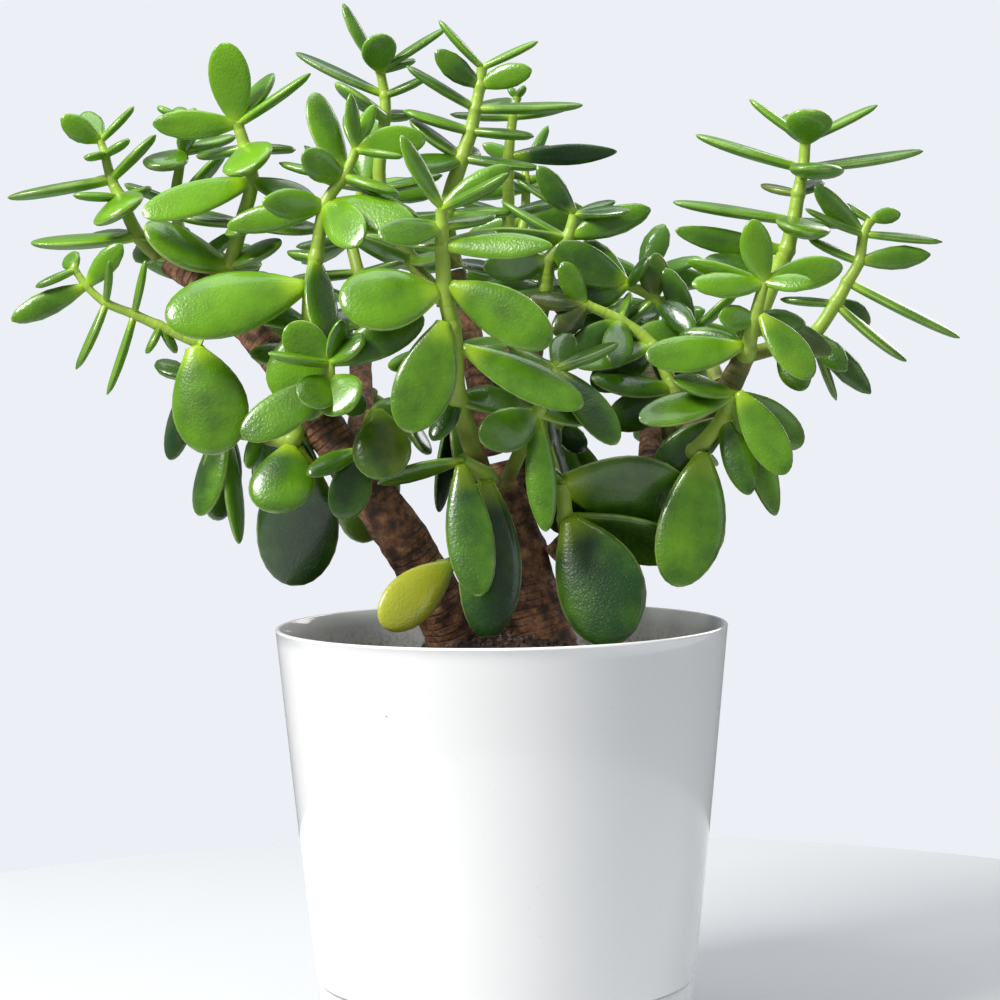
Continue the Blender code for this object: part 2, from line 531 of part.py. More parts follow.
def clear_start(path, sides, wood):
    """A tube's points, its first one moved outwards until the tube is clear of the wood that bears it."""
    first, second = Vector(path[0][:3]), Vector(path[1][:3])
    way = (second - first).normalized()
    step = 0.0
    while step < (second - first).length - 2.0:
        start = first + way * step
        moved = [(*start, path[0][3])] + list(path[1:])
        wide = [(x, y, z, radius + GAP + 0.2) for x, y, z, radius in moved]
        wide[0] = (*(start - way * GAP), wide[0][3])
        nearest = [tree.find_nearest(start * MM) for tree in wood]
        outside = all((start * MM - spot).dot(out) > 0 for spot, out, _, _ in nearest)
        if outside and not hits(tree_of(tube_mesh(wide, sides)), wood):
            return moved
        step += 0.5
    return path


def grown_like(source, turn, root, size):
    """The joints of a shoot that grows as another does, turned and set on a new root."""
    thick, thin, joints = SHOOTS[source]
    start = Vector(joints[0][0])
    spin = Matrix.Rotation(math.radians(turn), 3, "Z")
    grown = []
    for place, leaves in joints:
        point = Vector(root) + spin @ (Vector(place) - start) * size
        copies = []
        for leaf in leaves:
            look = spin @ way_of(leaf[4]) if len(leaf) > 4 else None
            copies.append((*(spin @ Vector(leaf[:3]) * size), leaf[3] * size, look))
        grown.append((tuple(point), copies))
    return thick * size, thin * size, grown


def way_of(face):
    """The direction that face letters name, or a direction as it is."""
    if isinstance(face, str):
        return sum((Vector(FACES[letter]) for letter in face), Vector())
    return face


def all_shoots():
    """Every shoot's stem radii and joints, the back ones grown like those in front."""
    shoots = dict(SHOOTS)
    for name, (source, turn, root, size) in BACK_SHOOTS.items():
        shoots[name] = grown_like(source, turn, root, size)
    return shoots


def stem_points(thick, thin, joints, wood):
    """A stem's points with radii, from clear of the wood to its tip."""
    count = len(joints) - 1
    path = [(*leaned(place), thick + (thin - thick) * index / count) for index, (place, _) in enumerate(joints)]
    return clear_start(path, STEM_SIDES, wood)


def fitted_leaf(foot, leaf, growth, others, siblings, room):
    """The first lean and size of a leaf that is clear of what is already there, or None."""
    face = way_of(leaf[4]) if len(leaf) > 4 and leaf[4] else None
    for size in SIZES:
        for lean in LEANS:
            reach = Vector((leaf[0], leaf[1] + lean, leaf[2])) * size
            width = leaf[3] * (0.5 + 0.5 * size)
            out = reach.normalized() - growth * reach.normalized().dot(growth)
            start = Vector(foot) + out.normalized() * room
            reach = reach - out.normalized() * room
            whole = leaf_mesh(start, reach, width, face, growth, 3 * GAP)
            free = leaf_mesh(start + reach * LEAF_FREE, reach * (1 - LEAF_FREE), width, face, growth, 2 * GAP)
            if not hits(tree_of(whole), others) and not hits(tree_of(free), siblings):
                return start, reach, width, face
    return None


def plan_leaves(shoots, stems, solids):
    """Every leaf that finds room, own pieces first: (shoot, name or None, mesh)."""
    placed = []
    trees = []
    for own in (True, False):
        for shoot, (thick, thin, joints) in shoots.items():
            for index, (_, leaves) in enumerate(joints):
                x, y, z, radius = stems[shoot][index]
                before = Vector(stems[shoot][max(0, index - 1)][:3])
                after = Vector(stems[shoot][min(len(joints) - 1, index + 1)][:3])
                for leaf in leaves:
                    if (len(leaf) > 5) != own:
                        continue
                    name = leaf[5] if own else None
                    strangers = [tree for key, tree in solids.items() if own or key != shoot]
                    strangers += [tree for key, tree in trees if own or key != shoot]
                    siblings = [tree for key, tree in trees if key == shoot]
                    room = radius + LEAF_FOOT if own else -0.3 * radius
                    growth = (after - before).normalized()
                    found = fitted_leaf((x, y, z), leaf, growth, strangers, siblings, room)
                    if found is None:
                        continue
                    foot, reach, width, face = found
                    mesh = leaf_mesh(foot, reach, width, face, growth)
                    trees.append((name or shoot, tree_of(mesh)))
                    placed.append((shoot, name, mesh))
    return placed


def joined(body, limb):
    """The union of two closed meshes, or None where it isn't one clean closed body."""
    first = bpy.data.objects.new("body", body)
    second = bpy.data.objects.new("limb", limb)
    for thing in (first, second):
        bpy.context.scene.collection.objects.link(thing)
    union = first.modifiers.new("Join", "BOOLEAN")
    union.operation = "UNION"
    union.object = second
    evaluated = first.evaluated_get(bpy.context.evaluated_depsgraph_get())
    mesh = bpy.data.meshes.new_from_object(evaluated)
    bpy.data.objects.remove(first)
    bpy.data.objects.remove(second)
    before = volume_of(body)
    work = bmesh.new()
    work.from_mesh(mesh)
    bmesh.ops.remove_doubles(work, verts=work.verts, dist=0.00001)
    bmesh.ops.dissolve_limit(work, angle_limit=math.radians(0.5), verts=work.verts, edges=work.edges)
    bmesh.ops.triangulate(work, faces=work.faces)
    clean = one_closed_body(work) and before < work.calc_volume() < before + volume_of(limb)
    work.to_mesh(mesh)
    work.free()
    return mesh if clean else None


def volume_of(mesh):
    """The volume inside a closed mesh."""
    work = bmesh.new()
    work.from_mesh(mesh)
    volume = work.calc_volume()
    work.free()
    return volume


def one_closed_body(work):
    """Whether every edge has two faces and every face can be reached from the first."""
    work.verts.ensure_lookup_table()
    if not work.verts or not all(edge.is_manifold for edge in work.edges):
        return False
    reached = {work.verts[0]}
    waiting = [work.verts[0]]
    while waiting:
        for edge in waiting.pop().link_edges:
            for vert in edge.verts:
                if vert not in reached:
                    reached.add(vert)
                    waiting.append(vert)
    return len(reached) == len(work.verts)


def join_all(name, meshes):
    """One closed mesh from a stem and its limbs, each limb nudged where its seam would not close."""
    body = meshes[0]
    for limb in meshes[1:]:
        for nudge in NUDGES:
            moved = limb.copy()
            moved.transform(Matrix.Translation(Vector(nudge) * MM))
            both = joined(body, moved)
            if both:
                body = both
                break
    body.materials.clear()
    return body


def build_wood(parts):
    """Trunks with their roots, and branches that start clear of what bears them."""
    trees = {}
    for name, points in WOOD.items():
        path = [leaned(point) for point in points]
        if name.startswith("branch"):
            path = clear_start(path, WOOD_SIDES, list(trees.values()))
        mesh = tube_mesh(path, WOOD_SIDES)
        trees[name] = tree_of(mesh)
        roots = [tube_mesh(root, STEM_SIDES) for root in ROOTS.get(name, [])]
        add_object(name, join_all(name, [mesh] + roots), parts)
    return trees


def build_crown(parts, wood):
    """Every shoot with its leaves, and the leaves that are pieces of their own."""
    shoots = all_shoots()
    solids = dict(wood)
    stems = {}
    stem_meshes = {}
    for name, (thick, thin, joints) in shoots.items():
        stems[name] = stem_points(thick, thin, joints, list(solids.values()))
        stem_meshes[name] = tube_mesh(stems[name], STEM_SIDES)
        solids[name] = tree_of(stem_meshes[name])
    placed = plan_leaves(shoots, stems, solids)
    for name, stem in stem_meshes.items():
        limbs = [mesh for shoot, leaf, mesh in placed if shoot == name and leaf is None]
        add_object(name, join_all(name, [stem] + limbs), parts)
    for shoot, leaf, mesh in placed:
        if leaf:
            add_object(leaf, mesh, parts)


def main():
    for thing in list(bpy.data.objects):
        bpy.data.objects.remove(thing)
    parts = bpy.data.collections.new("Potted jade plant")
    cutters = bpy.data.collections.new("Cutters")
    bpy.context.scene.collection.children.link(parts)
    bpy.context.scene.collection.children.link(cutters)
    build_pot(parts, cutters)
    build_saucer(parts)
    build_soil(parts, cutters)
    wood = build_wood(parts)
    build_crown(parts, wood)


if __name__ == "__main__":
    main()
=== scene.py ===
"""Potted jade plant: the fine surfaces and finishes of the pot, soil, wood and leafy shoots."""

import math

import bmesh
import bpy
from mathutils import Matrix, Vector, noise
from mathutils.bvhtree import BVHTree


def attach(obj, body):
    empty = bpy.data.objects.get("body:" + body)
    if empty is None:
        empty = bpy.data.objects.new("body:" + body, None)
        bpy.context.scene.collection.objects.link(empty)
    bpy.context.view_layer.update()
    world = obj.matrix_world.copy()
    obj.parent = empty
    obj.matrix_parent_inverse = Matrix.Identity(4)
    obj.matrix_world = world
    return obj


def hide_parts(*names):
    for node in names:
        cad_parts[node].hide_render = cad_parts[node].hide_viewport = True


bl_info = {
    "name": "Potted jade plant",
    "version": (1, 0, 0),
    "blender": (4, 5, 0),
    "location": "3D View > Sidebar > Plant",
    "description": "Builds a potted jade plant piece by piece",
    "category": "Add Mesh",
}

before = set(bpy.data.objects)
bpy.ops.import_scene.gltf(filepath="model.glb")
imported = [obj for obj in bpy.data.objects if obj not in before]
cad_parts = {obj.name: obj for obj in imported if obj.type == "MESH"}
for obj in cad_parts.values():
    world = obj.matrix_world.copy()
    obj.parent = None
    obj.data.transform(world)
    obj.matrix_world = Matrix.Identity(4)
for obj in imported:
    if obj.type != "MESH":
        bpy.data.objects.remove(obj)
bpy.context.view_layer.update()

MM = 0.001

# Outlines of the pot and saucer, mm
RIM_RADIUS = 100.0
RIM_HEIGHT = 188.0
SAUCER_HEIGHT = 31.6
SAUCER_RADIUS = 83.4
SAUCER_FLOOR = 3.0
GAP = 0.3
DRAIN_HOLES = 4
DRAIN_RADIUS = 5.0
DRAIN_CIRCLE = 42.0
SOIL_EDGE_HEIGHT = 160.0
SOIL_TOP_HEIGHT = 185.0

# Leaf rules, shared with the solid model: where each leaf grows and how far it leans to stay clear
LEAF_STATIONS = ((0.0, 0.14), (0.38, 0.45), (0.78, 0.44))
LEAF_THICKNESS = (0.22, 2.0)
LEAF_BASE_THICKNESS = 0.62
LEAF_BOW = 0.05
FRONT_TILT = 0.28
LEAF_FOOT = 3.0
LEAF_FREE = 0.35
STEM_SIDES = 6
WOOD_SIDES = 8
CROWN_LEAN = 0.013
CROWN_FOOT = 240.0
LEANS = (0, 5, -5, 10, -10, 15, -15, 21, -21, 28, -28)
SIZES = (1.0, 0.86, 0.72)
FACES = {"F": (0, -1, 0), "B": (0, 1, 0), "L": (-1, 0, 0), "R": (1, 0, 0), "U": (0, 0, 1), "D": (0, 0, -1)}

# Floor and camera: metres, degrees, and mm for the lens
FLOOR_RADIUS = 0.5
FLOOR_DEPTH = 0.02
CAMERA_PLACE = (0.0, -1.080, 0.296)
CAMERA_TILT = 87.184
CAMERA_ROLL = -0.745
CAMERA_LENS = 87.98

# Fine leaf outline: place along the blade, half width there, half thickness there
OUTLINE = (
    (0.0, 0.12, 0.34), (0.04, 0.15, 0.38), (0.10, 0.215, 0.42), (0.18, 0.30, 0.45), (0.27, 0.375, 0.47),
    (0.36, 0.435, 0.49), (0.46, 0.48, 0.50), (0.56, 0.50, 0.50), (0.66, 0.492, 0.48), (0.76, 0.455, 0.45),
    (0.85, 0.385, 0.39), (0.92, 0.295, 0.31), (0.967, 0.195, 0.21), (0.993, 0.085, 0.09),
)
LIGHT_OUTLINE = OUTLINE[0:1] + OUTLINE[2:11:2] + OUTLINE[11:14:2]

# Woody parts: points (x, y, z, radius), from the soil outwards
WOOD = {
    "trunk_left": [
        (-12, 4, 112, 6), (-15, 2, 145, 11), (-20, -4, 178, 13), (-28, -12, 200, 11.5), (-42, -20, 227, 10.8),
        (-60, -25, 253, 10), (-75, -25, 274, 9), (-91, -20, 298, 8), (-107, -15, 316, 7),
        (-125, -10, 334, 6), (-145, -2, 347, 5),
    ],
    "trunk_right": [
        (26, 8, 108, 7), (23, 6, 145, 12), (17, 3, 178, 16), (12, 1, 200, 13.5), (8, 0, 222, 11.5),
        (2, 0, 243, 10), (-3, 2, 258, 8.5),
    ],
    "branch_right": [
        (22, -2, 212, 8), (38, -6, 229, 7.5), (61, -10, 248, 7), (83, -15, 270, 6.5), (97, -22, 290, 5.5),
        (105, -26, 306, 4.5),
    ],
    "branch_middle": [(-4, 4, 264, 6.5), (-8, 12, 288, 6), (-14, 18, 318, 5.5), (-20, 20, 345, 4.5)],
    "branch_inner": [(6, 6, 262, 5.5), (10, 9, 285, 5), (14, 11, 305, 4.5), (17, 11, 322, 4.2)],
    "branch_back": [(8, 8, 240, 7), (12, 34, 262, 6.5), (10, 62, 292, 5.5), (4, 82, 318, 4.5)],
    "branch_back_left": [(-62, -14, 262, 6), (-62, 14, 284, 5.5), (-64, 44, 306, 5), (-62, 66, 326, 4)],
    "branch_back_right": [(66, 0, 252, 5.5), (68, 24, 270, 5), (70, 48, 292, 4.5), (70, 64, 312, 4)],
}

# Roots under each trunk: points (x, y, z, radius)
ROOTS = {
    "trunk_left": [
        [(-14, 3, 130, 6), (-34, -4, 112, 4), (-52, -10, 84, 2.5)],
        [(-13, 4, 122, 6), (-18, 26, 96, 4), (-26, 40, 66, 2.5)],
        [(-12, 3, 116, 5), (-8, -10, 90, 3.5), (-12, -24, 58, 2.5)],
    ],
    "trunk_right": [
        [(24, 7, 130, 6.5), (44, 14, 108, 4.5), (58, 18, 76, 2.5)],
        [(25, 8, 124, 6.5), (24, 30, 98, 4), (18, 48, 64, 2.5)],
        [(26, 7, 116, 6), (30, -12, 90, 4), (40, -26, 60, 2.5)],
    ],
}

# Shoots: a stem through its leaf joints. Each joint is a point and the leaves that grow there.
# A leaf is (reach x, reach y, reach z, width, way its upper face looks, name if it is a piece of its own).
# With no way given, the upper face looks along the growing stem.
SHOOTS = {
    "shoot_left_top": (3.4, 1.6, [
        ((-150, 2, 350), [(-14, 14, 4, 13), (16, 12, 6, 12)]),
        ((-159, 0, 359), [(-46, -6, -6, 17), (-26, 16, 1, 12), (24, -10, 2, 13)]),
        ((-167, 0, 376), [(2, -24, -10, 25, "UUL"), (12, 8, 4, 13), (-19, -10, 0, 11)]),
        ((-171, 1, 384), [(-45, -4, -8, 16), (21, -5, 19, 14), (-13, 18, 0, 13)]),
        ((-174, 2, 395), [(12, -8, 5, 10), (-7, -10, -2, 9)]),
        ((-176, 3, 401), [(-17, -7, 8, 12, "F"), (-10, 9, 13, 13), (15, 3, 15, 9)]),
    ]),
    "shoot_left_dangling": (2.4, 1.5, [
        ((-128, -30, 311), [(10, -12, -46, 33, "F", "leaf_left_hanging")]),
        ((-146, -30, 319), [(-4, -5, -12, 8), (6, 6, -12, 10)]),
        ((-157, -30, 324), [(-10, 0, -35, 9), (7, -9, 23, 8)]),
        ((-169, -30, 329), [(-11, -4, -29, 10), (5, -10, 18, 8)]),
        ((-177, -30, 336), [(-32, -4, -14, 12, "F"), (16, -8, 18, 11, "F")]),
        ((-182, -30, 343), [(-16, -6, -7, 9), (-4, 8, 7, 10)]),
    ]),
    "shoot_upper_left": (3.4, 2.4, [
        ((-118, -12, 345), [(-36, -8, 14, 24, "FU"), (24, -2, 10, 16), (8, 18, 4, 16)]),
        ((-112, -16, 364), [(-34, 10, 4, 15), (34, 4, -2, 16), (2, -18, -6, 16, "F")]),
        ((-107, -20, 382), [(-46, -10, -16, 17, "FFU"), (24, 14, -6, 14), (30, -8, -12, 15, "FU")]),
        ((-110, -20, 396), [(6, -24, -12, 24, "UUL"), (19, 18, 1, 13), (-24, 16, -4, 12)]),
        ((-113, -20, 406), [(-4, -9, 34, 18, "F"), (14, 12, 22, 16), (-36, -5, -2, 14, "F"),
                            (33, -4, 20, 12)]),
    ]),
    "shoot_left_behind": (3.0, 1.6, [
        ((-138, 6, 345), [(22, -8, 14, 13), (-20, 12, 6, 13)]),
        ((-146, 25, 375), [(26, -8, 22, 13), (-24, 6, 10, 14), (6, 20, 4, 13)]),
        ((-143, 25, 398), [(-10, -16, -8, 20), (24, 8, 8, 14), (8, -14, 14, 12)]),
        ((-143, 25, 413), [(-10, -5, 5, 9), (7, -3, 4, 9), (-3, 8, 6, 9)]),
    ]),
    "shoot_left_low": (4.0, 2.6, [
        ((-82, -22, 286), [(4, 18, -30, 18), (-16, 18, -18, 16)]),
        ((-90, -32, 270), [(-3, -18, -30, 28, "F", "leaf_low_shelf"),
                           (4, -8, -64, 36, "F", "leaf_low_dark")]),
        ((-104, -22, 272), [(-5, -14, -13, 14), (-2, 18, -20, 18)]),
        ((-122, -5, 276), [(-9, -4, -40, 20, "FL"), (-4, 12, -42, 24, "FR"), (8, -4, -52, 16)]),
        ((-138, 6, 296), [(-8, 2, -36, 17, "FL"), (-16, 10, 8, 14)]),
    ]),
    "shoot_upper_middle": (4.6, 2.0, [
        ((-80, -24, 290), []),
        ((-81, -30, 304), [(28, 10, 6, 16), (-26, 12, 4, 16)]),
        ((-81, -38, 318), [(-34, 10, 12, 18), (34, 8, 8, 17), (-9, -14, -44, 30, "F", "leaf_left_glossy")]),
        ((-80, -42, 334), [(-61, -10, -11, 31, "FFU", "leaf_left_broad")]),
        ((-78, -40, 348), [(5, -14, -36, 18, "FR"), (-12, 14, 2, 14)]),
        ((-74, -40, 370), [(-26, -12, 0, 15, "F"), (-42, 2, -9, 13, "F"), (39, -12, -9, 18, "FFU"),
                           (18, -14, -17, 18, "F")]),
        ((-66, -40, 382), [(-18, -10, 7, 15, "F"), (-16, 6, 35, 17, "FR"), (-29, 6, 5, 10),
                           (23, -8, -8, 13),
                           (31, 8, -17, 12)]),
        ((-61, -40, 393), [(-2, -7, 23, 9, "FR"), (6, 7, 21, 8), (-6, 9, 17, 8), (29, 3, 7, 15, "F"),
                           (21, -10, -4, 9)]),
    ]),
    "shoot_rosette": (3.2, 2.2, [
        ((-74, -28, 284), []),
        ((-71, -46, 290), [(-16, 12, -8, 16), (14, 12, -6, 14)]),
        ((-71, -62, 296), [(-34, -8, -26, 19, "FFL"), (10, -14, -13, 21, "F"), (-9, -14, -11, 17, "F")]),
        ((-71, -62, 303), [(-18, -4, 15, 17, "F"), (-24, -10, 2, 12), (6, -6, 18, 10, "FR"),
                           (16, -6, 10, 14, "FU"),
                           (40, 4, 17, 17, "FFL"), (4, 12, 14, 12)]),
    ]),
    "shoot_low_middle": (3.2, 2.4, [
        ((-58, -25, 256), []),
        ((-60, -40, 266), [(-6, 10, -30, 18, "F"), (-22, -10, -9, 12)]),
        ((-54, -46, 282), [(6, -14, -28, 25, "F", "leaf_low_bright"), (14, 8, 4, 14)]),
    ]),
    "shoot_centre": (4.6, 2.4, [
        ((-8, -22, 256), []),
        ((-18, -52, 288), [(-24, 14, -6, 16), (-10, -8, -18, 12), (26, 12, -2, 17)]),
        ((-19, -60, 308), [(52, -8, -26, 18, "FFU", "leaf_centre_right"), (-28, 16, -6, 18),
                           (22, 22, 4, 16)]),
        ((-20, -62, 318), [(-16, -14, -44, 25, "F", "leaf_centre_front")]),
        ((-23, -65, 333), [(-43, -8, -7, 30, "FFU", "leaf_centre_left"),
                           (45, -14, -20, 22, "F", "leaf_centre_broad")]),
        ((-24, -67, 351), [(46, -8, -1, 14, "FFU"), (-20, 20, 4, 15), (22, 18, 6, 14)]),
        ((-24, -69, 359), [(-25, -10, -6, 15, "FFU"), (22, 14, 5, 12)]),
        ((-24, -70, 366), [(-19, -6, 28, 10, "FR"), (28, 2, 18, 12, "F"), (28, -9, 13, 9),
                           (-10, 10, 16, 8)]),
    ]),
    "shoot_centre_low": (3.4, 3.0, [
        ((0, -8, 248), []),
        ((-6, -42, 256), [(5, -16, -68, 27, "F", "leaf_low_front")]),
        ((-16, -54, 262), [(5, -20, -56, 20, "F", "leaf_low_narrow"), (-36, -4, -8, 11, "FD")]),
    ]),
    "shoot_inner_front": (3.4, 2.4, [
        ((2, -12, 250), []),
        ((16, -50, 282), [(-23, -14, -14, 19, "F"), (1, -8, -50, 14, "F"), (26, 10, 2, 18),
                          (-14, 18, 6, 16)]),
        ((24, -44, 300), [(27, -8, -30, 17, "FU"), (-24, 2, 12, 15), (26, 8, 10, 15), (4, 16, 16, 14)]),
    ]),
    "spur_yellow": (2.6, 2.2, [
        ((-34, -14, 213), []),
        ((-21, -32, 218), [(-31, -16, -25, 22, "F", "leaf_yellow")]),
    ]),
    "shoot_right_low": (4.0, 3.0, [
        ((30, -6, 222), []),
        ((28, -30, 236), [(27, -22, -50, 38, "F", "leaf_low_right"), (54, -2, -16, 28, "FD")]),
        ((27, -34, 252), [(56, 6, -4, 36, "FFD"), (-12, -10, 12, 14), (30, 30, -14, 26),
                          (8, 24, -30, 24, "F")]),
    ]),
    "shoot_right_cluster": (4.2, 3.0, [
        ((82, -15, 268), []),
        ((84, -28, 266), [(-5, -14, -59, 29, "F", "leaf_right_hanging"), (7, -22, -15, 18, "F")]),
        ((96, -30, 280), [(12, -12, -32, 15, "F"), (-26, 12, -24, 18, "F"), (10, 14, -30, 16)]),
        ((99, -34, 290), [(-40, -12, -12, 18, "FU"), (23, -10, -34, 17, "F", "leaf_right_long"),
                          (32, 10, -22, 18, "F"), (24, 4, -50, 14, "F"), (-30, 10, 6, 17)]),
    ]),
    "shoot_right_front": (4.0, 2.2, [
        ((105, -26, 304), []),
        ((106, -35, 310), [(-44, -8, -8, 18, "FFU", "leaf_right_shelf"), (-28, 8, 6, 12, "F")]),
        ((108, -40, 322), [(24, -12, -25, 17, "FFR", "leaf_right_bright"), (22, 6, -3, 13, "FFU"),
                           (-16, -6, 0, 12, "F"), (34, 10, -14, 14, "F"), (-4, 18, -8, 14)]),
        ((112, -40, 337), [(-8, -6, 26, 15, "F"), (-31, -8, -3, 14, "FFU"), (20, -8, -1, 10, "FFU"),
                           (34, 4, 7, 15, "F"), (-32, 8, 8, 11, "FD")]),
    ]),
    "shoot_right_top": (4.2, 2.4, [
        ((110, -14, 318), []),
        ((124, 12, 346), [(-34, -6, 2, 14, "FU"), (26, 8, -4, 14)]),
        ((128, 15, 354), [(-50, 4, 5, 12, "F"), (-4, 20, 2, 12)]),
        ((131, 15, 367), [(4, -26, -9, 25), (-54, 0, 9, 14), (28, 4, -3, 9)]),
        ((133, 15, 379), [(-15, 14, 4, 10), (12, 16, 6, 10)]),
        ((135, 15, 390), [(9, -22, -4, 26), (-48, 0, 14, 14), (53, 0, 5, 13)]),
        ((136, 15, 402), [(2, -16, 12, 21), (-25, 2, 19, 9), (32, 2, 16, 9), (-6, 12, 12, 16)]),
    ]),
    "shoot_right_side": (3.6, 2.0, [
        ((104, -18, 306), []),
        ((124, -6, 311), [(-10, 6, 18, 13, "F"), (8, -10, -20, 15, "F"), (14, 14, 4, 13)]),
        ((138, 0, 316), [(13, -12, -16, 13, "F"), (26, 0, -26, 13, "F"), (12, 12, -29, 10)]),
        ((148, 0, 330), [(29, 0, -28, 12), (18, 10, -8, 12, "F"), (-24, 6, 2, 10)]),
        ((153, 0, 339), [(49, -4, -25, 12)]),
        ((158, 0, 348), [(31, -4, 2, 12, "F"), (-22, 0, 10, 10), (-40, 10, 15, 13, "F")]),
        ((160, 0, 360), [(34, -4, -3, 9), (-24, -4, 19, 11, "F"), (-27, 6, 8, 8)]),
        ((163, 0, 366), [(-11, 4, 8, 8), (13, 2, 4, 8, "F")]),
    ]),
    "shoot_inner_right": (3.6, 2.2, [
        ((96, -18, 292), []),
        ((92, -8, 304), [(-26, -8, 6, 15), (20, 8, 12, 14), (-10, 16, -14, 15)]),
        ((86, 6, 318), [(-12, 2, 28, 12, "F"), (20, -6, 16, 13), (-30, -4, -4, 15, "F")]),
        ((69, 10, 332), [(-2, -4, 20, 15, "F"), (-20, 12, -16, 15), (18, -8, -14, 14, "F")]),
        ((57, 10, 338), [(-34, -6, 14, 18, "F"), (-20, 8, 20, 13, "F"), (8, -10, 12, 12),
                         (-28, -4, -10, 15, "F")]),
    ]),
    "shoot_inner_dark": (3.4, 2.2, [
        ((84, -12, 276), []),
        ((76, -8, 292), [(-36, -8, 2, 16, "FU"), (-26, 10, -18, 18, "F"), (12, 12, -16, 15)]),
        ((67, -2, 311), [(-34, -8, -10, 16, "FU"), (-24, 10, -20, 17, "F"), (14, -8, -18, 15, "F")]),
        ((53, 0, 322), [(-26, -8, -18, 15, "F"), (-4, -10, -20, 15, "F"), (4, 14, 10, 13)]),
        ((38, 0, 329), [(-26, -6, 2, 13, "FU"), (-12, 8, 18, 12, "F"), (-14, -8, -14, 13, "F")]),
    ]),
    "shoot_upper_right": (4.0, 2.4, [
        ((17, 11, 322), [(30, -6, 6, 15), (-26, 6, 8, 14)]),
        ((20, 11, 336), [(28, -8, -14, 17, "F"), (-26, -6, 2, 15, "FU"), (8, 20, 4, 14)]),
        ((22, 10, 349), [(-30, -6, -6, 15, "F"), (22, 12, -4, 14), (34, -6, -10, 16, "FU")]),
        ((30, 10, 359), [(-48, -10, 0, 15, "FD"), (37, -2, 12, 14, "F"), (-31, 8, 15, 9)]),
        ((33, 10, 369), [(-18, -4, 20, 13, "F"), (18, 8, 6, 8), (25, -8, 1, 8, "FU"), (-26, 4, 17, 7)]),
    ]),
    "shoot_top_behind": (3.6, 1.8, [
        ((10, 62, 292), []),
        ((4, 56, 345), [(-24, 8, 6, 14), (28, 6, 4, 14), (4, 22, 8, 13)]),
        ((4, 56, 372), [(-26, -6, 6, 14), (26, 10, 8, 13)]),
        ((4, 55, 399), [(50, -8, -1, 11, "F"), (21, 12, 4, 9)]),
        ((6, 55, 417), [(27, 4, 4, 10), (-29, 6, 1, 9)]),
        ((8, 55, 426), [(4, -3, 5, 6), (-4, 3, 5, 6)]),
    ]),
    "shoot_top": (4.0, 2.2, [
        ((-20, 20, 345), []),
        ((-24, 20, 370), [(-30, 6, -4, 15), (30, 4, 2, 14), (2, -20, -8, 15)]),
        ((-17, 20, 395), [(-24, 4, 17, 15), (35, -4, -5, 13), (4, 20, 6, 13), (-24, -12, -6, 15, "FU")]),
        ((-13, 20, 407), [(-30, -4, 9, 13), (28, -6, -3, 13)]),
        ((-11, 20, 417), [(-31, -4, 18, 12), (48, -2, -1, 14), (17, 18, 5, 12)]),
        ((-9, 20, 427), [(-21, -6, 13, 12, "F"), (23, -6, 8, 12, "F")]),
        ((-8, 20, 435), [(-20, -4, 20, 9), (25, 0, 12, 8)]),
    ]),
    "shoot_top_left": (3.8, 2.0, [
        ((-14, 18, 318), []),
        ((-40, 28, 350), [(-24, -8, 8, 16), (14, 16, 2, 15), (22, -12, 0, 15)]),
        ((-54, 30, 382), [(-30, 6, 6, 15), (28, 4, 6, 14), (4, -20, -6, 16, "FU")]),
        ((-52, 30, 414), [(-21, -14, 13, 21), (12, 16, 4, 14)]),
        ((-52, 30, 424), [(-42, 10, 20, 11), (21, -4, 7, 10)]),
        ((-54, 30, 435), [(1, -14, 15, 17), (-20, 4, 29, 9), (29, 4, 20, 9), (14, 14, 7, 10)]),
    ]),
}

# Shoots at the back of the crown: (shoot that they grow like, turn about the upright axis, root, size)
BACK_SHOOTS = {
    "shoot_back_left": ("shoot_upper_left", 165, (-62, 66, 328), 0.95),
    "shoot_back_left_low": ("shoot_left_low", 205, (-60, 30, 292), 0.90),
    "shoot_back_middle": ("shoot_centre", 185, (4, 84, 320), 0.72),
    "shoot_back_middle_low": ("shoot_left_low", 120, (16, 52, 288), 0.90),
    "shoot_back_right": ("shoot_right_front", 160, (70, 66, 314), 0.95),
    "shoot_back_right_low": ("shoot_right_cluster", 120, (76, 26, 272), 0.90),
    "shoot_back_far_left": ("shoot_rosette", 200, (-112, 4, 322), 1.0),
}


def leaf_axes(reach, face, growth):
    """The leaf's own directions: along the blade, across it, and out of its upper face."""
    along = Vector(reach).normalized()
    look = Vector(face or growth + Vector(FACES["F"]) * FRONT_TILT)
    up = look - along * look.dot(along)
    if up.length < 0.15:
        up = Vector((0, -1, 0.3)) - along * Vector((0, -1, 0.3)).dot(along)
    up.normalize()
    return along, along.cross(up), up


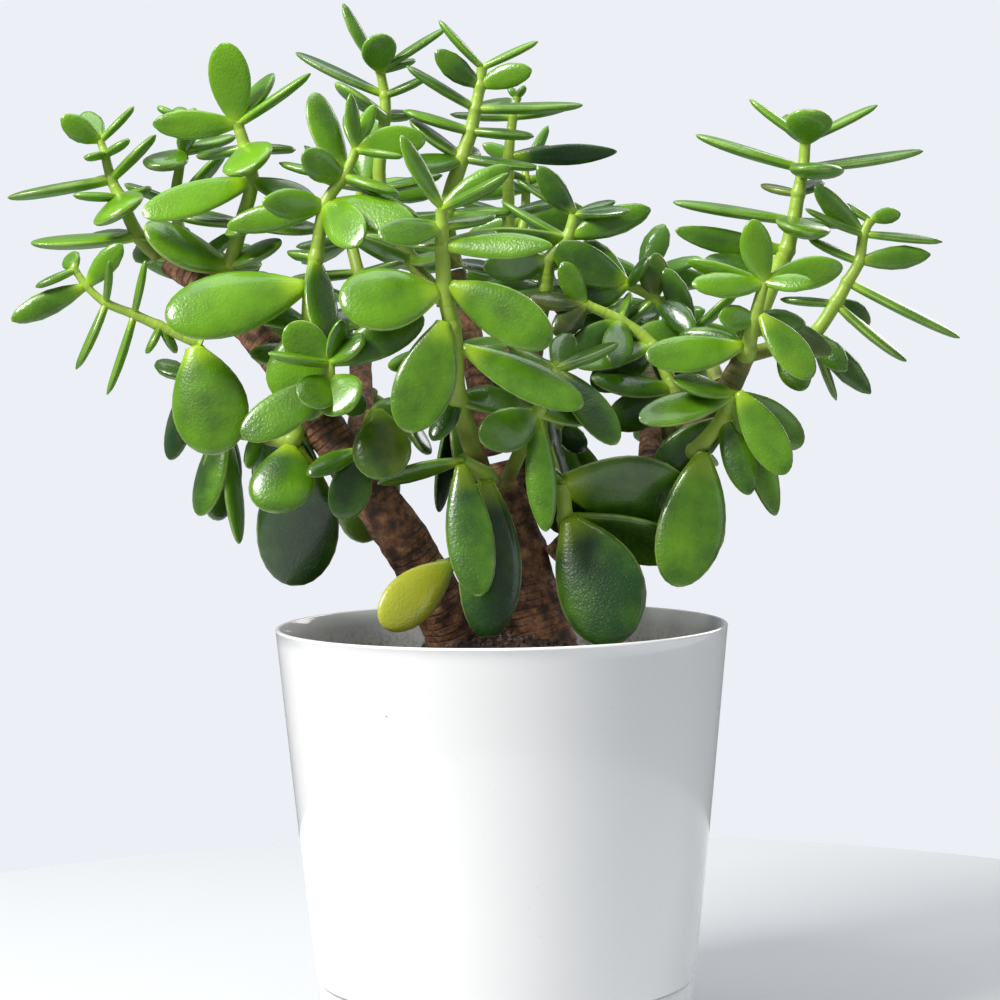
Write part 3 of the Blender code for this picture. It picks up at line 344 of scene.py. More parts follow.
def leaf_mesh(base, reach, width, face, growth, room=0.0):
    """One thick leaf in mm: rings of four points from its foot to its tip, with some room all round."""
    length = Vector(reach).length
    along, across, up = leaf_axes(reach, face, growth)
    thick = width * LEAF_THICKNESS[0] + LEAF_THICKNESS[1]
    work = bmesh.new()
    rings = []
    for place, half in LEAF_STATIONS:
        rise = LEAF_BOW * length * place ** 2
        middle = Vector(base) + along * (length * place) + up * rise
        depth = thick * (LEAF_BASE_THICKNESS + (1 - LEAF_BASE_THICKNESS) * min(1.0, place * 3)) / 2 + room
        side = max(half * width + room, depth)
        corners = (across * side, up * depth, across * -side, up * -depth)
        rings.append([work.verts.new((middle + corner) * MM) for corner in corners])
    tip = work.verts.new((Vector(base) + along * (length + room) + up * (LEAF_BOW * length)) * MM)
    work.faces.new(rings[0])
    for low, high in zip(rings, rings[1:]):
        for index in range(4):
            following = (index + 1) % 4
            work.faces.new((low[index], high[index], high[following], low[following]))
    for index in range(4):
        work.faces.new((rings[-1][index], tip, rings[-1][(index + 1) % 4]))
    bmesh.ops.recalc_face_normals(work, faces=work.faces)
    mesh = bpy.data.meshes.new("leaf")
    work.to_mesh(mesh)
    work.free()
    return mesh


def tree_of(mesh):
    """A search tree over a mesh's triangles."""
    work = bmesh.new()
    work.from_mesh(mesh)
    bmesh.ops.triangulate(work, faces=work.faces)
    tree = BVHTree.FromBMesh(work)
    work.free()
    return tree


def hits(tree, others):
    """Whether a mesh's tree crosses any of the others."""
    return any(tree.overlap(other) for other in others)


def leaned(point):
    """A crown point after the crown's slight lean."""
    x, y, z = point[:3]
    if z <= CROWN_FOOT:
        return tuple(point)
    return (x + CROWN_LEAN * (z - CROWN_FOOT), y, z - CROWN_LEAN * x, *point[3:])


def clear_start(path, sides, wood):
    """A tube's points, its first one moved outwards until the tube is clear of the wood that bears it."""
    first, second = Vector(path[0][:3]), Vector(path[1][:3])
    way = (second - first).normalized()
    step = 0.0
    while step < (second - first).length - 2.0:
        start = first + way * step
        moved = [(*start, path[0][3])] + list(path[1:])
        wide = [(x, y, z, radius + GAP + 0.2) for x, y, z, radius in moved]
        wide[0] = (*(start - way * GAP), wide[0][3])
        nearest = [tree.find_nearest(start * MM) for tree in wood]
        outside = all((start * MM - spot).dot(out) > 0 for spot, out, _, _ in nearest)
        if outside and not hits(tree_of(tube_mesh(wide, sides)), wood):
            return moved
        step += 0.5
    return path


def grown_like(source, turn, root, size):
    """The joints of a shoot that grows as another does, turned and set on a new root."""
    thick, thin, joints = SHOOTS[source]
    start = Vector(joints[0][0])
    spin = Matrix.Rotation(math.radians(turn), 3, "Z")
    grown = []
    for place, leaves in joints:
        point = Vector(root) + spin @ (Vector(place) - start) * size
        copies = []
        for leaf in leaves:
            look = spin @ way_of(leaf[4]) if len(leaf) > 4 else None
            copies.append((*(spin @ Vector(leaf[:3]) * size), leaf[3] * size, look))
        grown.append((tuple(point), copies))
    return thick * size, thin * size, grown


def way_of(face):
    """The direction that face letters name, or a direction as it is."""
    if isinstance(face, str):
        return sum((Vector(FACES[letter]) for letter in face), Vector())
    return face


def all_shoots():
    """Every shoot's stem radii and joints, the back ones grown like those in front."""
    shoots = dict(SHOOTS)
    for name, (source, turn, root, size) in BACK_SHOOTS.items():
        shoots[name] = grown_like(source, turn, root, size)
    return shoots


def stem_points(thick, thin, joints, wood):
    """A stem's points with radii, from clear of the wood to its tip."""
    count = len(joints) - 1
    path = [(*leaned(place), thick + (thin - thick) * index / count)
            for index, (place, _) in enumerate(joints)]
    return clear_start(path, STEM_SIDES, wood)


def fitted_leaf(foot, leaf, growth, others, siblings, room):
    """The first lean and size of a leaf that is clear of what is already there, or None."""
    face = way_of(leaf[4]) if len(leaf) > 4 and leaf[4] else None
    for size in SIZES:
        for lean in LEANS:
            reach = Vector((leaf[0], leaf[1] + lean, leaf[2])) * size
            width = leaf[3] * (0.5 + 0.5 * size)
            out = reach.normalized() - growth * reach.normalized().dot(growth)
            start = Vector(foot) + out.normalized() * room
            reach = reach - out.normalized() * room
            whole = leaf_mesh(start, reach, width, face, growth, 3 * GAP)
            free = leaf_mesh(start + reach * LEAF_FREE, reach * (1 - LEAF_FREE), width, face, growth, 2 * GAP)
            if not hits(tree_of(whole), others) and not hits(tree_of(free), siblings):
                return start, reach, width, face
    return None


def tube_mesh(points, sides):
    """A closed plain tube through (x, y, z, radius) points in mm, as a mesh in metres."""
    curve = wire(points, "tube")
    curve.bevel_depth = MM
    curve.use_fill_caps = True
    curve.bevel_resolution = (sides - 4) // 2
    holder = added("tube", curve)
    mesh = settled(holder)
    bpy.data.curves.remove(curve)
    work = bmesh.new()
    work.from_mesh(mesh)
    bmesh.ops.remove_doubles(work, verts=work.verts, dist=0.00001)
    bmesh.ops.recalc_face_normals(work, faces=work.faces)
    work.to_mesh(mesh)
    work.free()
    return mesh


def wire(points, name):
    """A POLY curve through (x, y, z, radius) points in mm."""
    curve = bpy.data.curves.new(name, "CURVE")
    curve.dimensions = "3D"
    add_run(curve, points)
    return curve


def add_run(curve, points):
    """One more run of points on a curve."""
    spline = curve.splines.new("POLY")
    spline.points.add(len(points) - 1)
    for target, (x, y, z, radius) in zip(spline.points, points):
        target.co = (x * MM, y * MM, z * MM, 1.0)
        target.radius = radius


def added(name, data):
    """A new object in the scene."""
    thing = bpy.data.objects.new(name, data)
    bpy.context.scene.collection.objects.link(thing)
    return thing


def settled(thing):
    """An object's evaluated shape as a plain mesh; the object is removed."""
    evaluated = thing.evaluated_get(bpy.context.evaluated_depsgraph_get())
    mesh = bpy.data.meshes.new_from_object(evaluated, depsgraph=bpy.context.evaluated_depsgraph_get())
    bpy.data.objects.remove(thing)
    return mesh


def smooth_path(points, steps, swell=0.0, reach=1.6):
    """A rounded path through the points; the radius swells a little at each of them."""
    path = []
    last = len(points) - 1
    for index in range(last):
        four = [Vector(points[max(0, min(last, index + shift))]) for shift in (-1, 0, 1, 2)]
        length = (four[2].xyz - four[1].xyz).length
        for step in range(steps + (index == last - 1)):
            t = step / steps
            point = (
                four[1] * 2 + (four[2] - four[0]) * t
                + (four[0] * 2 - four[1] * 5 + four[2] * 4 - four[3]) * t * t
                + (four[1] * 3 - four[0] - four[2] * 3 + four[3]) * t ** 3
            ) / 2
            away = min(t, 1 - t) * length
            girth = (four[1].w + (four[2].w - four[1].w) * t) * (1 + swell * math.exp(-((away / reach) ** 2)))
            path.append((point.x, point.y, point.z, girth))
    return path


# Node helpers


def add_node(tree, kind, inputs=None, **settings):
    """A node with its settings; each input is a value or another node's output."""
    node = tree.nodes.new(kind)
    for name, value in settings.items():
        setattr(node, name, value)
    for key, value in (inputs or {}).items():
        if isinstance(value, bpy.types.NodeSocket):
            tree.links.new(value, node.inputs[key])
        else:
            node.inputs[key].default_value = value
    return node


def sums(tree, operation, *values):
    """The result of a Math node."""
    return add_node(tree, "ShaderNodeMath", dict(enumerate(values)), operation=operation).outputs[0]


def times(tree, first, second):
    """One value times another."""
    return sums(tree, "MULTIPLY", first, second)


def plus(tree, first, second):
    """One value plus another."""
    return sums(tree, "ADD", first, second)


def less(tree, first, second):
    """One value less another."""
    return sums(tree, "SUBTRACT", first, second)


def blended(tree, share, first, second):
    """Two colours mixed by a share."""
    inputs = {0: share, 6: first, 7: second}
    return add_node(tree, "ShaderNodeMix", inputs, data_type="RGBA", blend_type="MIX").outputs[2]


def attribute(tree, name, output="Fac"):
    """A named value that the mesh carries, for a material."""
    return add_node(tree, "ShaderNodeAttribute", attribute_name=name).outputs[output]


def scaled(tree, direction, length):
    """A direction times a length."""
    inputs = {0: direction, "Scale": length}
    return add_node(tree, "ShaderNodeVectorMath", inputs, operation="SCALE").outputs[0]


def stepped(tree, value, low, high, start=0.0, end=1.0):
    """A value eased from start to end between low and high."""
    inputs = {"Value": value, "From Min": low, "From Max": high, "To Min": start, "To Max": end}
    return add_node(tree, "ShaderNodeMapRange", inputs, interpolation_type="SMOOTHSTEP").outputs[0]


def speckle(tree, place, scale, detail=2.0, roughness=0.5):
    """A soft noise value over a place."""
    inputs = {"Vector": place, "Scale": scale, "Detail": detail, "Roughness": roughness}
    return add_node(tree, "ShaderNodeTexNoise", inputs).outputs[0]


def new_group(name, kind, inputs, outputs):
    """An empty node group with named sockets, and its input and output nodes."""
    tree = bpy.data.node_groups.new(name, kind)
    for label, socket, default in inputs:
        item = tree.interface.new_socket(name=label, in_out="INPUT", socket_type=socket)
        if default is not None:
            item.default_value = default
    for label, socket in outputs:
        tree.interface.new_socket(name=label, in_out="OUTPUT", socket_type=socket)
    return tree, tree.nodes.new("NodeGroupInput"), tree.nodes.new("NodeGroupOutput")


def new_material(name, **fixed):
    """A material with its Principled shader and the fixed values on that shader's sockets."""
    material = bpy.data.materials.new(name)
    material.use_nodes = True
    shader = material.node_tree.nodes["Principled BSDF"]
    for key, value in fixed.items():
        shader.inputs[key.replace("_", " ")].default_value = value
    return material, material.node_tree, shader


def use_group(tree, shader, group, values, height=0.0001):
    """A group in a material, its results fed to the shader."""
    node = add_node(tree, "ShaderNodeGroup", node_tree=group)
    for key, value in values.items():
        node.inputs[key].default_value = value
    tree.links.new(node.outputs["Colour"], shader.inputs["Base Color"])
    tree.links.new(node.outputs["Roughness"], shader.inputs["Roughness"])
    bump = add_node(tree, "ShaderNodeBump", {
        "Strength": 1.0, "Distance": height, "Height": node.outputs["Height"]})
    tree.links.new(bump.outputs[0], shader.inputs["Normal"])
    return node


FINISH = [("Colour", "NodeSocketColor"), ("Roughness", "NodeSocketFloat"), ("Height", "NodeSocketFloat")]


def leaf_group():
    """Leaf skin: deeper in the middle, pale along the margin, yellower at the foot, greyer underneath."""
    tree, given, result = new_group("Leaf skin", "ShaderNodeTree", [
        ("Deep", "NodeSocketColor", (0.014, 0.085, 0.003, 1)),
        ("Bright", "NodeSocketColor", (0.21, 0.50, 0.008, 1)),
        ("Foot", "NodeSocketColor", (0.40, 0.62, 0.02, 1)),
        ("Margin", "NodeSocketColor", (0.60, 0.66, 0.25, 1)),
        ("Under", "NodeSocketColor", (0.10, 0.27, 0.015, 1)),
        ("Blush", "NodeSocketColor", (0.24, 0.10, 0.03, 1)),
        ("Gloss", "NodeSocketFloat", 0.27),
    ], FINISH)
    leaf = attribute(tree, "leaf_place", "Vector")
    parts = add_node(tree, "ShaderNodeSeparateXYZ", {0: leaf})
    across, along, face = parts.outputs
    # Each leaf's brightness value carries painted light and shade from the crown (front, outer and high
    # leaves brighter, inner and low ones darker) plus a random shift of the leaf's own green.
    tone_and_painted_light = attribute(tree, "tone_and_painted_light")
    blush = attribute(tree, "blush")
    place = add_node(tree, "ShaderNodeTexCoord").outputs["Object"]
    cloud = speckle(tree, place, 55.0, 3.0, 0.55)
    grain = speckle(tree, place, 900.0, 2.0, 0.6)
    pores = add_node(tree, "ShaderNodeTexVoronoi", {"Vector": place, "Scale": 780.0}).outputs["Distance"]
    away = sums(tree, "ABSOLUTE", across)
    bright = plus(tree, tone_and_painted_light, times(tree, less(tree, cloud, 0.5), 0.9))
    bright = plus(tree, bright, times(tree, less(tree, away, 0.4), 0.12))
    top = blended(tree, stepped(tree, bright, 0.0, 1.0), given.outputs["Deep"], given.outputs["Bright"])
    flecks = stepped(tree, pores, 0.16, 0.05, 0.0, 0.22)
    top = blended(tree, flecks, top, given.outputs["Margin"])
    foot = stepped(tree, along, 0.26, 0.0, 0.0, 0.75)
    top = blended(tree, foot, top, given.outputs["Foot"])
    lit = stepped(tree, bright, 0.0, 1.0, 0.0, 0.5)
    under = blended(tree, lit, given.outputs["Under"], given.outputs["Bright"])
    under = blended(tree, foot, under, given.outputs["Foot"])
    skin = blended(tree, stepped(tree, face, 0.15, -0.35), top, under)
    rim = sums(tree, "MAXIMUM", stepped(tree, away, 0.93, 0.995), stepped(tree, along, 0.975, 0.995))
    rim = times(tree, rim, stepped(tree, cloud, 0.3, 0.7, 0.1, 0.5))
    skin = blended(tree, rim, skin, given.outputs["Margin"])
    stain = times(tree, blush, stepped(tree, cloud, 0.35, 0.7))
    skin = blended(tree, stain, skin, given.outputs["Blush"])
    tree.links.new(skin, result.inputs["Colour"])
    rough = plus(tree, given.outputs["Gloss"], times(tree, grain, 0.14))
    rough = plus(tree, rough, stepped(tree, face, 0.1, -0.4, 0.0, 0.16))
    tree.links.new(rough, result.inputs["Roughness"])
    pebble = times(tree, stepped(tree, along, 0.25, 0.85, 0.25, 1.0), grain)
    tree.links.new(plus(tree, pebble, times(tree, pores, 0.35)), result.inputs["Height"])
    return tree


def bark_group():
    """Stem skin: rings round the stem, long flakes, and green young wood towards the tips."""
    tree, given, result = new_group("Ringed stem", "ShaderNodeTree", [
        ("Dark", "NodeSocketColor", (0.075, 0.035, 0.02, 1)),
        ("Mid", "NodeSocketColor", (0.26, 0.12, 0.06, 1)),
        ("Pale", "NodeSocketColor", (0.52, 0.34, 0.20, 1)),
        ("Young", "NodeSocketColor", (0.36, 0.52, 0.06, 1)),
        ("Ring spacing", "NodeSocketFloat", 4.0),
        ("Ring strength", "NodeSocketFloat", 0.6),
        ("Wood roughness", "NodeSocketFloat", 0.75),
    ], FINISH)
    along = attribute(tree, "along")
    youth = attribute(tree, "youth")
    place = add_node(tree, "ShaderNodeTexCoord").outputs["Object"]
    flake = speckle(tree, place, 190.0, 5.0, 0.62)
    patch = speckle(tree, place, 45.0, 2.0, 0.5)
    shifted = plus(tree, along, times(tree, flake, 2.2))
    wave = sums(tree, "FRACT", sums(tree, "DIVIDE", shifted, given.outputs["Ring spacing"]))
    ring = stepped(tree, sums(tree, "ABSOLUTE", less(tree, wave, 0.5)), 0.18, 0.06)
    ring = times(tree, ring, stepped(tree, patch, 0.35, 0.6))
    wood = blended(tree, stepped(tree, flake, 0.36, 0.62), given.outputs["Dark"], given.outputs["Mid"])
    wood = blended(tree, times(tree, stepped(tree, flake, 0.56, 0.72), 0.7), wood, given.outputs["Pale"])
    wood = blended(tree, times(tree, ring, given.outputs["Ring strength"]), wood, given.outputs["Dark"])
    green = plus(tree, youth, times(tree, less(tree, patch, 0.5), 0.7))
    green = stepped(tree, green, 0.25, 0.65)
    aged = stepped(tree, flake, 0.3, 0.8, 0.0, 0.35)
    young = blended(tree, aged, given.outputs["Young"], (0.16, 0.30, 0.03, 1))
    tree.links.new(blended(tree, green, wood, young), result.inputs["Colour"])
    rough = blended(tree, green, (0.75, 0.75, 0.75, 1), (0.38, 0.38, 0.38, 1))
    rough = times(tree, rough, stepped(tree, flake, 0.2, 0.8, 0.85, 1.15))
    tree.links.new(rough, result.inputs["Roughness"])
    relief = less(tree, flake, times(tree, ring, 0.5))
    relief = times(tree, relief, less(tree, 1.0, times(tree, green, 0.8)))
    tree.links.new(relief, result.inputs["Height"])
    return tree


def glaze_group():
    """Glossy moulded plastic: a faint cloudiness, fine dust low down, and soil dust inside below the lip."""
    tree, given, result = new_group("Glossy moulding", "ShaderNodeTree", [
        ("Plastic", "NodeSocketColor", (0.84, 0.84, 0.84, 1)),
        ("Dust", "NodeSocketColor", (0.30, 0.24, 0.20, 1)),
        ("Gloss", "NodeSocketFloat", 0.12),
        ("Soil line", "NodeSocketFloat", 0.0),
    ], FINISH)
    place = add_node(tree, "ShaderNodeTexCoord").outputs["Object"]
    height = add_node(tree, "ShaderNodeSeparateXYZ", {0: place}).outputs[2]
    outward = add_node(tree, "ShaderNodeVectorMath", {
        0: add_node(tree, "ShaderNodeNewGeometry").outputs["Normal"],
        1: add_node(tree, "ShaderNodeVectorMath", {0: place, 1: (1, 1, 0)}, operation="MULTIPLY").outputs[0],
    }, operation="DOT_PRODUCT").outputs["Value"]
    inside = stepped(tree, outward, -0.02, -0.05)
    cloud = speckle(tree, place, 14.0, 2.0)
    fine = speckle(tree, place, 420.0, 4.0, 0.6)
    low = stepped(tree, height, given.outputs["Soil line"], 0.158)
    dusty = times(tree, times(tree, inside, low), stepped(tree, fine, 0.48, 0.62))
    film = times(tree, stepped(tree, fine, 0.60, 0.75), 0.06)
    dusty = sums(tree, "MAXIMUM", dusty, film)
    dull = stepped(tree, cloud, 0.3, 0.7, 0.0, 0.05)
    body = blended(tree, dull, given.outputs["Plastic"], (0.6, 0.62, 0.66, 1))
    tree.links.new(blended(tree, dusty, body, given.outputs["Dust"]), result.inputs["Colour"])
    rough = plus(tree, given.outputs["Gloss"], times(tree, cloud, 0.05))
    rough = plus(tree, rough, times(tree, dusty, 0.5))
    tree.links.new(rough, result.inputs["Roughness"])
    tree.links.new(times(tree, cloud, 0.4), result.inputs["Height"])
    return tree


def earth_group():
    """Crumbly potting soil: dark, mottled, with paler dry grains; bits carry their own shade."""
    tree, given, result = new_group("Crumbly soil", "ShaderNodeTree", [
        ("Earth", "NodeSocketColor", (0.030, 0.018, 0.014, 1)),
        ("Dry", "NodeSocketColor", (0.13, 0.085, 0.060, 1)),
        ("Pale bits", "NodeSocketColor", (0.62, 0.58, 0.52, 1)),
    ], FINISH)
    place = add_node(tree, "ShaderNodeTexCoord").outputs["Object"]
    shade = attribute(tree, "shade")
    fine = speckle(tree, place, 520.0, 4.0, 0.65)
    mixed = plus(tree, times(tree, shade, 0.55), times(tree, fine, 0.6))
    colour = blended(tree, stepped(tree, mixed, 0.30, 0.85), given.outputs["Earth"], given.outputs["Dry"])
    colour = blended(tree, stepped(tree, shade, 1.4, 1.6), colour, given.outputs["Pale bits"])
    tree.links.new(colour, result.inputs["Colour"])
    tree.links.new(stepped(tree, fine, 0.0, 1.0, 0.85, 1.0), result.inputs["Roughness"])
    tree.links.new(fine, result.inputs["Height"])
    return tree


# Geometry node trees


def given_name(tree, name, kind="FLOAT"):
    """A named attribute's value."""
    node = add_node(tree, "GeometryNodeInputNamedAttribute", {"Name": name}, data_type=kind)
    return node.outputs["Attribute"]


def stored(tree, geometry, name, value, kind="FLOAT", domain="POINT"):
    """Geometry with a value stored under a name."""
    inputs = {"Geometry": geometry, "Name": name, "Value": value}
    return add_node(tree, "GeometryNodeStoreNamedAttribute", inputs, data_type=kind, domain=domain).outputs[0]


def stem_part(tree, curve, sides, knobble, youth_from, youth_to):
    """Nodes that turn a path into a round stem with rings of its own length and a slightly uneven skin."""
    length = add_node(tree, "GeometryNodeSplineParameter").outputs
    curve = stored(tree, curve, "along", times(tree, length["Length"], 1000.0))
    youth = stepped(tree, length["Factor"], 0.0, 1.0, youth_from, youth_to)
    curve = stored(tree, curve, "youth", youth)
    ring = add_node(tree, "GeometryNodeCurvePrimitiveCircle", {"Resolution": sides, "Radius": MM})
    skin = add_node(tree, "GeometryNodeCurveToMesh", {
        "Curve": curve, "Profile Curve": ring.outputs["Curve"], "Fill Caps": True,
        "Scale": add_node(tree, "GeometryNodeInputRadius").outputs[0],
    }).outputs[0]
    place = add_node(tree, "GeometryNodeInputPosition").outputs[0]
    rough = add_node(tree, "ShaderNodeTexNoise", {"Vector": place, "Scale": 160.0, "Detail": 3.0}).outputs[0]
    rise = times(tree, less(tree, rough, 0.5), knobble)
    push = scaled(tree, add_node(tree, "GeometryNodeInputNormal").outputs[0], rise)
    return add_node(tree, "GeometryNodeSetPosition", {"Geometry": skin, "Offset": push}).outputs[0]


def finished(tree, geometry, finish):
    """Plain smooth geometry with its material."""
    smooth = add_node(tree, "GeometryNodeSetShadeSmooth", {"Geometry": geometry}).outputs[0]
    plain = add_node(tree, "GeometryNodeRealizeInstances", {"Geometry": smooth}).outputs[0]
    return add_node(tree, "GeometryNodeSetMaterial", {"Geometry": plain, "Material": finish}).outputs[0]


def shoot_tree():
    """A leafy shoot: a stem along a path, and leaf shapes set on the leaf points, each bent its own way."""
    tree, given, result = new_group("Leafy shoot", "GeometryNodeTree", [
        ("Geometry", "NodeSocketGeometry", None),
        ("Stem", "NodeSocketObject", None),
        ("Leaf shapes", "NodeSocketCollection", None),
        ("Stem sides", "NodeSocketInt", 14),
        ("Unevenness", "NodeSocketFloat", 0.0006),
        ("Youth at root", "NodeSocketFloat", 0.2),
        ("Youth at tip", "NodeSocketFloat", 1.0),
        ("Stem finish", "NodeSocketMaterial", None),
        ("Leaf finish", "NodeSocketMaterial", None),
    ], [("Geometry", "NodeSocketGeometry")])
    pins = given.outputs
    path = add_node(tree, "GeometryNodeObjectInfo", {"Object": pins["Stem"]}).outputs["Geometry"]
    look = [pins[key] for key in ("Stem sides", "Unevenness", "Youth at root", "Youth at tip")]
    stem = stem_part(tree, path, *look)
    stem = finished(tree, stem, pins["Stem finish"])
    shapes = add_node(tree, "GeometryNodeCollectionInfo", {
        "Collection": pins["Leaf shapes"], "Separate Children": True, "Reset Children": True,
    }).outputs[0]
    turn = given_name(tree, "turn", "FLOAT_VECTOR")
    turn = add_node(tree, "FunctionNodeEulerToRotation", {0: turn}).outputs[0]
    leaves = add_node(tree, "GeometryNodeInstanceOnPoints", {
        "Points": pins["Geometry"], "Instance": shapes, "Pick Instance": True,
        "Instance Index": given_name(tree, "shape", "INT"), "Rotation": turn,
        "Scale": given_name(tree, "size", "FLOAT_VECTOR"),
    }).outputs[0]
    leaves = add_node(tree, "GeometryNodeRealizeInstances", {"Geometry": leaves}).outputs[0]
    place = add_node(tree, "ShaderNodeSeparateXYZ", {0: given_name(tree, "leaf_place", "FLOAT_VECTOR")})
    across, along, _ = place.outputs
    bow = times(tree, given_name(tree, "bow"), sums(tree, "POWER", along, 2.0))
    dish = times(tree, given_name(tree, "dish"), times(tree, across, across))
    dish = times(tree, dish, times(tree, along, less(tree, 1.15, along)))
    rise = scaled(tree, given_name(tree, "rise", "FLOAT_VECTOR"), plus(tree, bow, dish))
    sway = times(tree, given_name(tree, "sway"), sums(tree, "POWER", along, 2.0))
    drift = scaled(tree, given_name(tree, "side", "FLOAT_VECTOR"), sway)
    moved = add_node(tree, "ShaderNodeVectorMath", {0: rise, 1: drift}, operation="ADD").outputs[0]
    leaves = add_node(tree, "GeometryNodeSetPosition", {"Geometry": leaves, "Offset": moved}).outputs[0]
    leaves = finished(tree, leaves, pins["Leaf finish"])
    join = add_node(tree, "GeometryNodeJoinGeometry")
    tree.links.new(leaves, join.inputs[0])
    tree.links.new(stem, join.inputs[0])
    tree.links.new(join.outputs[0], result.inputs[0])
    return tree


def bits_tree():
    """Loose bits strewn over a surface, each with its own shade."""
    tree, given, result = new_group("Loose bits", "GeometryNodeTree", [
        ("Geometry", "NodeSocketGeometry", None),
        ("Bits", "NodeSocketCollection", None),
        ("Density", "NodeSocketFloat", 60000.0),
        ("Smallest", "NodeSocketFloat", 0.5),
        ("Largest", "NodeSocketFloat", 1.6),
        ("Shade from", "NodeSocketFloat", 0.0),
        ("Shade to", "NodeSocketFloat", 1.0),
        ("Seed", "NodeSocketInt", 3),
        ("Finish", "NodeSocketMaterial", None),
    ], [("Geometry", "NodeSocketGeometry")])
    pins = given.outputs
    normal = add_node(tree, "GeometryNodeInputNormal").outputs[0]
    up = add_node(tree, "ShaderNodeSeparateXYZ", {0: normal}).outputs[2]
    top = add_node(tree, "FunctionNodeCompare", {0: up, 1: 0.5}, operation="GREATER_THAN").outputs[0]
    points = add_node(tree, "GeometryNodeDistributePointsOnFaces", {
        "Mesh": pins["Geometry"], "Selection": top, "Density": pins["Density"], "Seed": pins["Seed"],
    }).outputs[0]
    shapes = add_node(tree, "GeometryNodeCollectionInfo", {
        "Collection": pins["Bits"], "Separate Children": True, "Reset Children": True,
    }).outputs[0]

    def chance(kind, low, high, shift):
        seed = plus(tree, pins["Seed"], shift)
        node = add_node(tree, "FunctionNodeRandomValue", {"Seed": seed}, data_type=kind)
        start = {"FLOAT": 2, "FLOAT_VECTOR": 0}[kind]
        for index, value in ((start, low), (start + 1, high)):
            if isinstance(value, bpy.types.NodeSocket):
                tree.links.new(value, node.inputs[index])
            else:
                node.inputs[index].default_value = value
        return node.outputs[{"FLOAT": 1, "FLOAT_VECTOR": 0}[kind]]

    turn = chance("FLOAT_VECTOR", (-0.7, -0.7, 0.0), (0.7, 0.7, 6.28), 11)
    size = chance("FLOAT", pins["Smallest"], pins["Largest"], 23)
    bits = add_node(tree, "GeometryNodeInstanceOnPoints", {
        "Points": points, "Instance": shapes, "Pick Instance": True,
        "Rotation": add_node(tree, "FunctionNodeEulerToRotation", {0: turn}).outputs[0], "Scale": size,
    }).outputs[0]
    shade = chance("FLOAT", pins["Shade from"], pins["Shade to"], 37)
    bits = stored(tree, bits, "shade", shade, domain="INSTANCE")
    bits = add_node(tree, "GeometryNodeRealizeInstances", {"Geometry": bits}).outputs[0]
    inputs = {"Geometry": bits, "Material": pins["Finish"]}
    bits = add_node(tree, "GeometryNodeSetMaterial", inputs).outputs[0]
    tree.links.new(bits, result.inputs[0])
    return tree


def grow(name, start, tree, values):
    """A plain mesh from a geometry node tree on a starting mesh, its inputs set by identifier."""
    holder = added(name + " start", start)
    modifier = holder.modifiers.new("Grow", "NODES")
    modifier.node_group = tree
    sockets = {item.name: item.identifier for item in tree.interface.items_tree if item.in_out == "INPUT"}
    for label, value in values.items():
        modifier[sockets[label]] = value
    return settled(holder)


def finish_piece(name, mesh, nodes):
    """Put a finished mesh in the scene in place of its solid pieces."""
    mesh.name = name
    piece = added(name, mesh)
    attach(piece, "root")
    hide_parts(*nodes)
    return piece


# Leaf shapes


def leaf_shape(name, outline, around, slim=1.0, point=0.0):
    """A leaf of length, width and thickness 1 along +X, upper face up, with its own coordinates stored."""
    work = bmesh.new()
    place = work.verts.layers.float_vector.new("leaf_place")
    rings = []
    for along, half, thick in outline:
        half *= slim * (1 - point * max(0.0, along - 0.6) ** 1.5)
        ring = []
        for index in range(around):
            turn = 2 * math.pi * index / around
            across, face = math.cos(turn), math.sin(turn)
            side = math.copysign(abs(across) ** 0.85, across)
            depth = math.copysign(abs(face) ** 1.15, face) * (0.86 if face > 0 else 1.1)
            vert = work.verts.new((along, side * half, depth * thick))
            vert[place] = (across, along, face)
            ring.append(vert)
        rings.append(ring)
    for low, high in zip(rings, rings[1:]):
        for index in range(around):
            after = (index + 1) % around
            work.faces.new((low[index], low[after], high[after], high[index]))
    for ring, end, along in ((rings[0], -0.01, 0.0), (rings[-1], 1.0, 1.0)):
        tip = work.verts.new((end, 0.0, 0.0))
        tip[place] = (0.0, along, 0.0)
        for index in range(around):
            work.faces.new((ring[index], ring[(index + 1) % around], tip))
    bmesh.ops.recalc_face_normals(work, faces=work.faces)
    mesh = bpy.data.meshes.new(name)
    work.to_mesh(mesh)
    work.free()
    return bpy.data.objects.new(name, mesh)


def leaf_shapes():
    """The hidden leaf shapes: broad, oval and slim, each fine for large leaves and light for small ones."""
    shapes = bpy.data.collections.new("Leaf shapes")
    kinds = (("broad", 1.0, 0.0), ("oval", 0.94, 0.6), ("slim", 0.90, 1.3))
    for index, (kind, slim, point) in enumerate(kinds):
        shapes.objects.link(leaf_shape(f"{index} {kind} fine", OUTLINE, 20, slim, point))
    for index, (kind, slim, point) in enumerate(kinds):
        shapes.objects.link(leaf_shape(f"{index + 3} {kind} light", LIGHT_OUTLINE, 10, slim, point))
    return shapes


def luck(place, salt):
    """A steady number from 0 to 1 for a place, so every build is the same."""
    return noise.cell(Vector(place) * 0.731 + Vector((salt * 17.3, salt * 5.1, salt * 9.7)))


